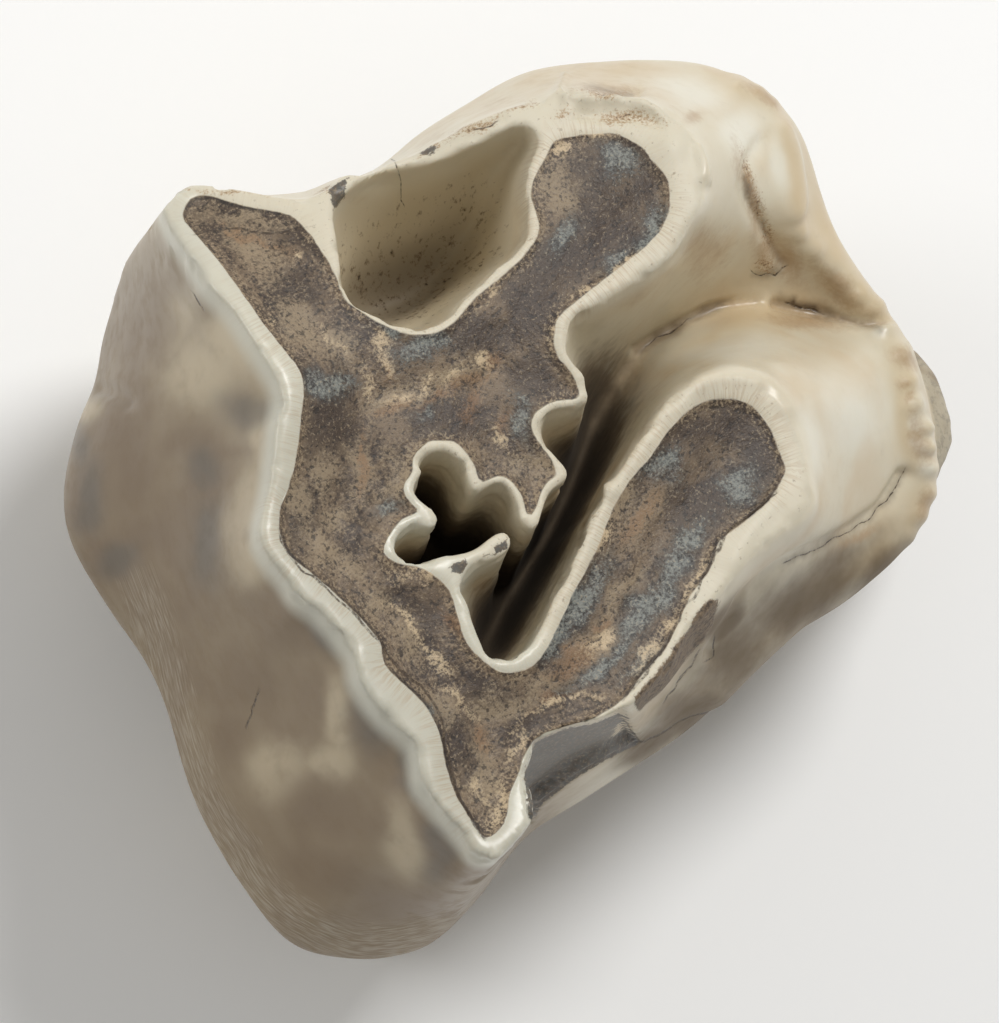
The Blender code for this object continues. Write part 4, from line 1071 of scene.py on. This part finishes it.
def markSurface(thing, crown):
    places = readPlaces(thing)
    normals = readNormals(thing)
    ends = edgeEnds(thing)
    seen = picturePoints(places)
    facing = softStep(normals @ toward, 0.0, 0.25)
    onWall = softStep(normals @ toward, -0.30, 0.05)
    onTop = places[:, 2] > faceLowest
    markFace(thing, crown, places)
    markHollows(thing, crown, places, seen)
    across = seen @ np.array(cheekSide["across"])
    keep(thing, "cheekShare", softStep(across, *cheekSide["enamel"]))
    keep(thing, "cheekRing", softStep(across, *cheekSide["ring"]))
    bend = ((neighbourMean(places, ends) - places) * normals).sum(1)
    keep(thing, "bend", softened(bend, ends, 3) * 10)
    moved = wavering(seen, "dentine")
    for name, spots in dentineStains.items():
        keep(thing, name, spotted(moved, spots) * facing * onTop)
    for name, spots in edgeMarks.items():
        keep(thing, name, spotted(seen, spots) * facing * onTop)
    moved = wavering(seen, "enamel")
    for name, spots in enamelStains.items():
        keep(thing, name, spotted(moved, spots) * (onWall if name in wallStains else facing))
    bent = wavering(seen, "cracks")
    markCracks(thing, bent, facing)
    bare = signedDistance(bent, np.array(bareFront, float))
    nearTop = softStep(crown.wear(places[:, :2]) - places[:, 2], 8, 3)
    keep(thing, "bare", np.clip(bare / 8 + 0.6, 0, 1) * onWall * nearTop)
    keep(thing, "brokenShare", np.clip(inBreaks(seen, 9)[0] / 4 + 0.5, 0, 1) * facing)
    side, gap, along = besideLine(seen, fibres["line"])
    strip = np.exp(-(gap / fibres["halfWidth"]) ** 2) * softStep(normals @ toward, -0.3, 0.1)
    keep(thing, "fibreAndGlint", strip)
    keep(thing, "fibrePlace", np.column_stack([side, along, np.zeros(len(side))]) / fibres["unit"])


def tint(red, green, blue):
    # a screen colour as the shader's own
    return tuple((v / 255 / 12.92) if v <= 10 else ((v / 255 + 0.055) / 1.055) ** 2.4
                 for v in (red, green, blue)) + (1.0,)


class Board:
    # a material's nodes, with short ways to add to them
    def __init__(self, name):
        self.material = bpy.data.materials.new(name)
        self.material.use_nodes = True
        self.tree = self.material.node_tree
        self.surface = self.tree.nodes["Principled BSDF"]
        self.object = self.put("ShaderNodeTexCoord").outputs["Object"]
        self.known = {}

    def put(self, kind, inputs=None, **settings):
        node = self.tree.nodes.new(kind)
        for name, value in settings.items():
            setattr(node, name, value)
        for name, value in (inputs or {}).items():
            self.feed(node.inputs[name], value)
        return node

    def feed(self, socket, value):
        if isinstance(value, bpy.types.NodeSocket):
            self.tree.links.new(value, socket)
        else:
            socket.default_value = value

    def read(self, name, part="Fac"):
        if name not in self.known:
            self.known[name] = self.put("ShaderNodeAttribute", attribute_name=name)
        return self.known[name].outputs[part]

    def math(self, operation, first, second=0.0):
        return self.put("ShaderNodeMath", {0: first, 1: second}, operation=operation).outputs[0]

    def times(self, first, second):
        return self.math("MULTIPLY", first, second)

    def plus(self, first, second):
        return self.math("ADD", first, second)

    def span(self, value, low, high, toLow=0.0, toHigh=1.0):
        inputs = {"Value": value, "From Min": low, "From Max": high, "To Min": toLow, "To Max": toHigh}
        return self.put("ShaderNodeMapRange", inputs, interpolation_type="SMOOTHSTEP").outputs[0]

    def noise(self, size, detail=2.0, roughness=0.55, place=None, stretch=(1, 1, 1), warp=0.0):
        # size is about that of a lump, in millimetres, or in the place's own unit
        unit = size if place else size * mm
        scaled = self.put("ShaderNodeVectorMath", {0: place or self.object, 1: tuple(stretch)},
                          operation="MULTIPLY")
        inputs = {"Vector": scaled.outputs[0], "Scale": 1 / unit, "Detail": detail,
                  "Roughness": roughness, "Distortion": warp}
        return self.put("ShaderNodeTexNoise", inputs).outputs["Fac"]

    def calmed(self, value):
        # the same noise with a little less contrast round its middle
        inputs = {0: value, 1: 0.89, 2: 0.055}
        return self.put("ShaderNodeMath", inputs, operation="MULTIPLY_ADD").outputs[0]

    def mix(self, share, first, second):
        node = self.put("ShaderNodeMix", data_type="RGBA")
        for index, value in ((0, share), (6, first), (7, second)):
            self.feed(node.inputs[index], value)
        return node.outputs[2]

    def blend(self, share, first, second):
        node = self.put("ShaderNodeMix", data_type="FLOAT")
        for index, value in ((0, share), (2, first), (3, second)):
            self.feed(node.inputs[index], value)
        return node.outputs[0]


# tones; the shade, crease, valley and soot tones are painted shade, the glow tone painted light, the milk
# tone partly painted highlight, the pale fibre tone painted glints
enamelLook = {
    "ivory": tint(213, 203, 179), "warm": tint(206, 189, 159), "milkAndHighlight": tint(228, 225, 210),
    "honey": tint(200, 177, 137), "taupe": tint(138, 119, 90), "brown": tint(118, 96, 67),
    "grey": tint(90, 82, 70), "paintedLightTone": tint(200, 184, 153), "rim": tint(212, 210, 194),
    "rimWarm": tint(217, 208, 186), "worn": tint(209, 202, 182), "shade": tint(104, 85, 57),
    "stain": tint(170, 140, 104), "brownStain": tint(112, 90, 65), "dirt": tint(50, 41, 32),
    "pit": tint(208, 196, 170), "valley": tint(112, 96, 74), "deepShade": tint(74, 62, 47),
    "crease": tint(92, 74, 53), "crack": tint(62, 49, 36), "fibreAndGlint": tint(206, 198, 184),
    "fibreDark": tint(150, 137, 118), "roughness": 0.32,
    # share of light that enters the enamel, how deep it goes, and the height of the fine relief
    "inner": 0.10, "innerDepth": 0.7, "reliefHeight": 0.13,
}
dentineLook = {
    "ground": tint(124, 106, 85), "deep": tint(66, 54, 45), "pale": tint(158, 140, 114),
    "cream": tint(204, 182, 148), "orange": tint(138, 103, 70), "blue": tint(142, 145, 138),
    "slate": tint(66, 68, 67), "pore": tint(34, 28, 24), "broken": tint(78, 66, 56),
}
rootLook = {
    "bone": tint(182, 171, 148), "grey": tint(134, 126, 112), "dirt": tint(148, 131, 106),
    "pore": tint(88, 74, 58), "core": tint(58, 48, 40),
}


def stained(board, colour, name, tone, rough, low, high, strength):
    # lays a stain over a colour, its soft oval broken up by the roughness
    share = board.span(board.plus(board.read(name), rough), low, high, 0.0, strength)
    return board.mix(share, colour, tone)


def toothMarks(board):
    # noises and shares that the tooth's colour, gloss and relief have in common
    speckle = board.calmed(board.noise(0.17, 2, 0.7))
    medium = board.noise(0.9, 2, 0.6)
    fine = board.calmed(board.noise(0.30, 2, 0.7))
    wobble = board.times(board.math("SUBTRACT", medium, 0.5), 0.16)
    depth = board.plus(board.read("dentineDepth"), wobble)
    face = board.plus(board.read("faceDepth"), wobble)
    fibreAndGlint = board.plus(board.read("fibreAndGlint"), board.times(medium, 1.2))
    bare = board.plus(board.read("bare"), board.times(speckle, 0.8))
    ragged = board.plus(board.read("brokenShare"), board.times(speckle, 0.9))
    crack = board.times(board.span(board.math("ABSOLUTE", board.read("crackSide")), 1.6, 0.5),
                        board.read("crackNear"))
    return {
        "speckle": speckle, "medium": medium, "fine": fine, "depth": depth, "face": face,
        "strip": board.noise(0.07, 1, 0.6, place=board.read("fibrePlace", "Vector"), stretch=(1, 0.06, 1)),
        "wornTop": board.times(board.span(face, -0.06, 0.06),
                               board.span(board.read("cheekRing"), 1.0, 0.0)),
        "isDentine": board.span(depth, -0.05, 0.05),
        "fibreAndGlint": board.span(fibreAndGlint, 0.85, 1.6),
        "bare": board.span(bare, 0.75, 1.05),
        "broken": board.span(ragged, 0.85, 1.05, 0.0, 0.9),
        "crack": board.times(crack, board.span(fine, 0.38, 0.58, 0.25, 0.85)),
    }


def enamelColour(board, marks):
    look = enamelLook
    fine, medium = marks["fine"], marks["medium"]
    cloud = board.noise(6.0, 2, 0.5, warp=0.5)
    ivory = board.mix(board.span(cloud, 0.40, 0.68), look["ivory"], look["warm"])
    taupe = board.mix(board.span(cloud, 0.36, 0.68, 0.0, 0.7), look["taupe"], look["brown"])
    colour = board.mix(board.read("cheekShare"), ivory, taupe)
    drift = board.noise(2.4, 3, 0.6, stretch=(1, 1, 0.6))
    # among these patches the front wall's shade is painted shade, the pale glow painted light, the milky
    # patches partly painted highlights, and one grey smudge painted shade
    for name, tone, strength in (("honey", "honey", 0.5), ("shade", "shade", 0.95),
                                 ("milkAndHighlight", "milkAndHighlight", 0.7), ("paintedLight", "paintedLightTone", 0.75),
                                 ("brownSmudge", "brown", 0.65), ("greySmudgeAndShade", "grey", 0.7)):
        patch = board.plus(board.read(name), board.times(drift, 0.6))
        colour = board.mix(board.span(patch, 0.34, 1.30, 0.0, strength), colour, look[tone])
    mottle = board.plus(board.times(fine, 0.7), board.times(medium, 0.5))
    colour = stained(board, colour, "tan", look["stain"], mottle, 0.85, 1.8, 0.7)
    # concave places take the stain tone, darker in creases and hollows
    bend = board.span(board.plus(board.read("bend"), board.times(fine, 0.3)), 0.28, 0.7, 0.0, 0.5)
    colour = board.mix(bend, colour, look["stain"])
    flow = board.noise(1.8, 3, 0.55, stretch=(1, 1, 0.5))
    flow = board.times(board.span(flow, 0.50, 0.72), board.read("cheekShare"))
    colour = board.mix(board.times(flow, 0.28), colour, look["brown"])
    # painted shade along the soft creases
    dirt = board.plus(board.read("crease"), board.times(medium, 0.4))
    return board.mix(board.span(dirt, 0.20, 1.25), colour, look["crease"])


def ringColour(board, marks, colour):
    # the pale ring along the enamel's edge
    tone = board.mix(board.read("cheekRing"), enamelLook["rimWarm"], enamelLook["rim"])
    ring = board.times(board.span(marks["face"], -1.0, -0.2), board.span(marks["depth"], 0.05, -0.05))
    return board.mix(board.times(ring, 0.8), colour, tone)


def hollowColour(board, marks, colour):
    # beige pit walls with dark spots that run down them, more of them deeper, and painted shade deep in
    # the pit and the valley
    look = enamelLook
    depth = board.read("pitDepth")
    colour = board.mix(board.span(depth, 0.0, 0.12), colour, look["pit"])
    # painted shade deeper in the rear pit
    colour = board.mix(board.span(depth, 0.40, 1.15, 0.0, 0.75), colour, look["valley"])
    spots = board.calmed(board.noise(0.34, 3, 0.7, stretch=(1, 1, 0.22)))
    spots = board.plus(board.span(depth, 0.0, 0.15, 0.0, 0.35), spots)
    spots = board.plus(spots, board.times(depth, 0.07))
    colour = board.mix(board.span(spots, 0.93, 1.04, 0.0, 0.55), colour, look["brownStain"])
    colour = board.mix(board.span(spots, 1.02, 1.10, 0.0, 0.85), colour, look["dirt"])
    # painted shade deeper in the valley, less toward its open mouth
    valley = board.plus(board.read("valleyDepth"), board.times(marks["medium"], 0.4))
    colour = board.mix(board.span(valley, 0.25, 0.75, 0.0, 0.9), colour, look["valley"])
    return board.mix(board.span(valley, 0.60, 1.15, 0.0, 0.9), colour, look["deepShade"])


def rimColour(board, marks, colour):
    # the enamel's worn top with brown dots, and the fine lines across it
    look = enamelLook
    colour = board.mix(board.times(marks["wornTop"], 0.5), colour, look["worn"])
    dots = board.times(marks["wornTop"], board.span(marks["fine"], 0.60, 0.74))
    colour = board.mix(board.times(dots, 0.5), colour, look["brownStain"])
    across = board.times(board.read("dentineDepth"), 0.05)
    place = board.put("ShaderNodeCombineXYZ", {0: board.read("rimAlong"), 1: across, 2: 0.0})
    stripes = board.noise(0.10, 2, 0.6, place=place.outputs[0])
    lined = board.times(board.span(marks["depth"], -1.5, -0.1), board.span(stripes, 0.44, 0.66))
    lined = board.times(lined, board.span(board.read("crossLines"), 0.0, 0.7, 0.25, 1.0))
    return board.mix(board.times(lined, 0.42), colour, look["stain"])


def wallColour(board, marks, colour):
    # the fibrous strip with painted glints on its pale lines, and dirt in dots
    look = enamelLook
    tone = board.mix(board.span(marks["strip"], 0.36, 0.70), look["fibreDark"], look["fibreAndGlint"])
    colour = board.mix(board.times(marks["fibreAndGlint"], 0.38), colour, tone)
    dots = board.plus(board.times(board.read("pitted"), 0.42), marks["speckle"])
    colour = board.mix(board.span(dots, 0.74, 0.92, 0.0, 0.75), colour, look["stain"])
    colour = board.mix(board.span(dots, 0.92, 1.00, 0.0, 0.8), colour, look["brownStain"])
    return board.mix(board.span(dots, 1.00, 1.07, 0.0, 0.9), colour, look["dirt"])


def bareColour(board, marks, colour):
    # brown dentine that lies bare along the front wall
    look = dentineLook
    tone = board.mix(board.span(marks["fine"], 0.34, 0.56), look["broken"], look["ground"])
    tone = board.mix(board.span(marks["speckle"], 0.52, 0.68, 0.0, 0.6), tone, look["pale"])
    return board.mix(marks["bare"], colour, tone)


def dentineColour(board, marks, colour):
    look = dentineLook
    speckle, depth = marks["speckle"], marks["depth"]
    coarse = board.noise(2.4, 3, 0.6, warp=0.6)
    place = board.put("ShaderNodeCombineXYZ", {0: board.times(board.read("rimAlong"), 0.35),
                                               1: board.times(depth, 2.4), 2: 0.0})
    streak = board.noise(1.0, 3, 0.7, place=place.outputs[0])
    base = board.plus(board.plus(board.times(coarse, 0.40), board.times(streak, 0.30)),
                      board.times(speckle, 0.3))
    inner = board.mix(board.span(base, 0.40, 0.58), look["deep"], look["ground"])
    rough = board.plus(board.times(marks["medium"], 0.6), board.times(speckle, 2.0))
    # dark dentine stains, some of them painted shadow under the front cusp's enamel lip
    inner = stained(board, inner, "dark", look["deep"], rough, 1.35, 2.15, 0.85)
    edge = board.times(board.span(depth, 0.9, 0.05), board.span(rough, 1.2, 1.75))
    inner = board.mix(board.times(edge, 0.6), inner, look["cream"])
    for name, tone, low, high, strength in (("dust", "pale", 1.40, 2.40, 0.75),
                                            ("orange", "orange", 1.55, 2.35, 0.6),
                                            ("blue", "slate", 1.45, 2.10, 0.75),
                                            ("blue", "blue", 1.80, 2.45, 0.8),
                                            ("cream", "cream", 1.62, 2.45, 0.95)):
        inner = stained(board, inner, name, look[tone], rough, low, high, strength)
    inner = board.mix(board.span(speckle, 0.54, 0.72, 0.0, 0.6), inner, look["pale"])
    inner = board.mix(board.span(marks["fine"], 0.46, 0.36, 0.0, 0.7), inner, look["pore"])
    edgeLine = board.times(board.span(depth, -0.02, 0.05), board.span(depth, 0.28, 0.10))
    edgeLine = board.times(edgeLine, board.read("edgeDirt"))
    inner = board.mix(board.times(edgeLine, 0.8), inner, look["pore"])
    return board.mix(marks["isDentine"], colour, inner)


def brokenColour(board, marks, colour):
    look = dentineLook
    tone = board.mix(board.span(marks["fine"], 0.38, 0.62), look["slate"], look["broken"])
    tone = board.mix(board.span(marks["speckle"], 0.50, 0.66, 0.0, 0.5), tone, look["pale"])
    return board.mix(marks["broken"], colour, tone)


def rootColour(board, marks, colour):
    look = rootLook
    cloud = board.noise(3.0, 2, 0.6, stretch=(1, 1, 0.5))
    lines = board.noise(0.34, 2, 0.6, stretch=(1, 1, 0.07))
    bone = board.mix(board.span(cloud, 0.38, 0.60), look["dirt"], look["bone"])
    bone = board.mix(board.span(lines, 0.46, 0.66, 0.0, 0.5), bone, look["grey"])
    pores = board.plus(marks["fine"], board.times(cloud, -0.4))
    bone = board.mix(board.span(pores, 0.40, 0.54, 0.0, 0.7), bone, look["pore"])
    core = board.plus(board.read("rootCore"), board.times(marks["medium"], 1.2))
    bone = board.mix(board.span(core, 1.6, 2.6, 0.0, 0.85), bone, look["core"])
    return board.mix(board.read("rootShare"), colour, bone)


def toothGloss(board, marks):
    medium = marks["medium"]
    dull = board.math("MAXIMUM", marks["fibreAndGlint"], board.span(board.read("pitDepth"), 0.0, 0.4))
    gloss = board.blend(dull, enamelLook["roughness"], 0.6)
    gloss = board.blend(board.span(board.read("valleyDepth"), 0.0, 0.35), gloss, 0.85)
    gloss = board.blend(board.read("shade"), gloss, 0.6)
    gloss = board.plus(gloss, board.span(medium, 0.4, 0.7, 0.0, 0.08))
    gloss = board.blend(marks["isDentine"], gloss, board.span(medium, 0.35, 0.65, 0.55, 0.70))
    gloss = board.blend(marks["wornTop"], gloss, 0.55)
    gloss = board.blend(marks["broken"], gloss, 0.42)
    gloss = board.blend(marks["bare"], gloss, 0.7)
    return board.blend(board.read("rootShare"), gloss, 0.62)


def toothHeight(board, marks):
    # grit on dentine, bare places and roots, fibres low on the cheek wall, sunk cracks
    rugged = board.math("MAXIMUM", board.span(board.read("dentineDepth"), -0.05, 0.05),
                        board.math("MAXIMUM", board.span(board.read("bare"), 0.4, 0.7),
                                   board.read("rootShare")))
    rugged = board.math("MAXIMUM", rugged, board.read("pitted"))
    grit = board.plus(board.times(marks["speckle"], 0.5), board.times(marks["fine"], 0.7))
    height = board.times(grit, board.span(rugged, 0.0, 1.0, 0.03, 1.0))
    fibreHeight = board.span(board.read("fibreAndGlint"), 0.25, 1.0, 0.0, 1.1)
    height = board.plus(height, board.times(marks["strip"], fibreHeight))
    return board.math("SUBTRACT", height, board.times(marks["crack"], 0.7))


def toothMaterial():
    board = Board("fossil_tooth")
    marks = toothMarks(board)
    colour = enamelColour(board, marks)
    for layer in (ringColour, hollowColour, rimColour, wallColour, bareColour, dentineColour,
                  brokenColour, rootColour):
        colour = layer(board, marks, colour)
    colour = board.mix(marks["crack"], colour, enamelLook["crack"])
    surface = board.surface.inputs
    board.feed(surface["Base Color"], colour)
    board.feed(surface["Roughness"], toothGloss(board, marks))
    bump = board.put("ShaderNodeBump", {"Height": toothHeight(board, marks), "Strength": 0.6,
                                        "Distance": enamelLook["reliefHeight"] * mm})
    board.feed(surface["Normal"], bump.outputs[0])
    surface["Subsurface Weight"].default_value = enamelLook["inner"]
    surface["Subsurface Radius"].default_value = (1.0, 0.75, 0.5)
    surface["Subsurface Scale"].default_value = enamelLook["innerDepth"] * mm
    return board.material


# studio: a pale floor, one soft light from the picture's top and a weak one from its left
studio = {
    "floorSize": 1.6, "floorTint": tint(252, 252, 251), "worldStrength": 0.34,
    # name, distances to the picture's right, its top and toward the eye, size, power
    "lights": [
        ("key", 0.27, 0.36, 0.38, 0.24, 2.3),
        ("fill", -0.34, 0.16, 0.22, 0.20, 0.45),
    ],
}


def addFloor():
    deselectAll()
    bpy.ops.mesh.primitive_plane_add(size=studio["floorSize"], location=(0, 0, 0))
    floor = bpy.context.object
    floor.name = "floor"
    board = Board("pale_floor")
    board.feed(board.surface.inputs["Base Color"], studio["floorTint"])
    board.surface.inputs["Roughness"].default_value = 0.9
    floor.data.materials.append(board.material)


def addLights():
    middle = Vector((0, 0, 24 * mm))
    for name, right, up, near, size, power in studio["lights"]:
        place = middle + Vector(right * rightward + up * upward + near * toward)
        bpy.ops.object.light_add(type="AREA", location=place)
        lamp = bpy.context.object
        lamp.name = name
        lamp.data.shape = "DISK"
        lamp.data.size = size
        lamp.data.energy = power
        lamp.rotation_euler = (middle - place).to_track_quat("-Z", "Y").to_euler()
    world = bpy.data.worlds.new("soft_room")
    world.use_nodes = True
    sky = world.node_tree.nodes["Background"]
    sky.inputs["Color"].default_value = (1.0, 0.99, 0.97, 1)
    sky.inputs["Strength"].default_value = studio["worldStrength"]
    bpy.context.scene.world = world
    bpy.context.scene.view_settings.view_transform = "Standard"


def addCamera():
    bpy.ops.object.camera_add()
    camera = bpy.context.object
    camera.name = "camera"
    camera.data.lens = sight["lens"]
    camera.data.sensor_width = sight["sensor"]
    camera.data.clip_end = 10.0
    turn = Matrix([[rightward[i], upward[i], toward[i]] for i in range(3)]).to_4x4()
    camera.matrix_world = Matrix.Translation(Vector(eye * mm)) @ turn
    bpy.context.scene.camera = camera


crown = Crown()
tooth = shapeCrown(crown)
tooth.name = tooth.data.name = "tooth_surface"
swell = shapeSwell()
makeActive(tooth)
swell.select_set(True)
bpy.ops.object.join()
print("stage: crown and roots shaped,", len(tooth.data.vertices), "points")
evenSkin(tooth)
print("stage: even skin,", len(tooth.data.polygons), "faces")
smoothWalls(tooth, crown)
carveRelief(tooth, crown)
cutRoots(tooth)
thinOut(tooth)
bpy.ops.object.shade_smooth()
print("stage: relief and cut,", len(tooth.data.polygons), "triangles")
markSurface(tooth, crown)
print("stage: surface marked")
tooth.data.materials.clear()
tooth.data.materials.append(toothMaterial())
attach(tooth, "root")
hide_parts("tooth")
print("stage: material made")
addFloor()
addLights()
addCamera()
print("stage: floor, lights and camera")

bpy.context.view_layer.update()
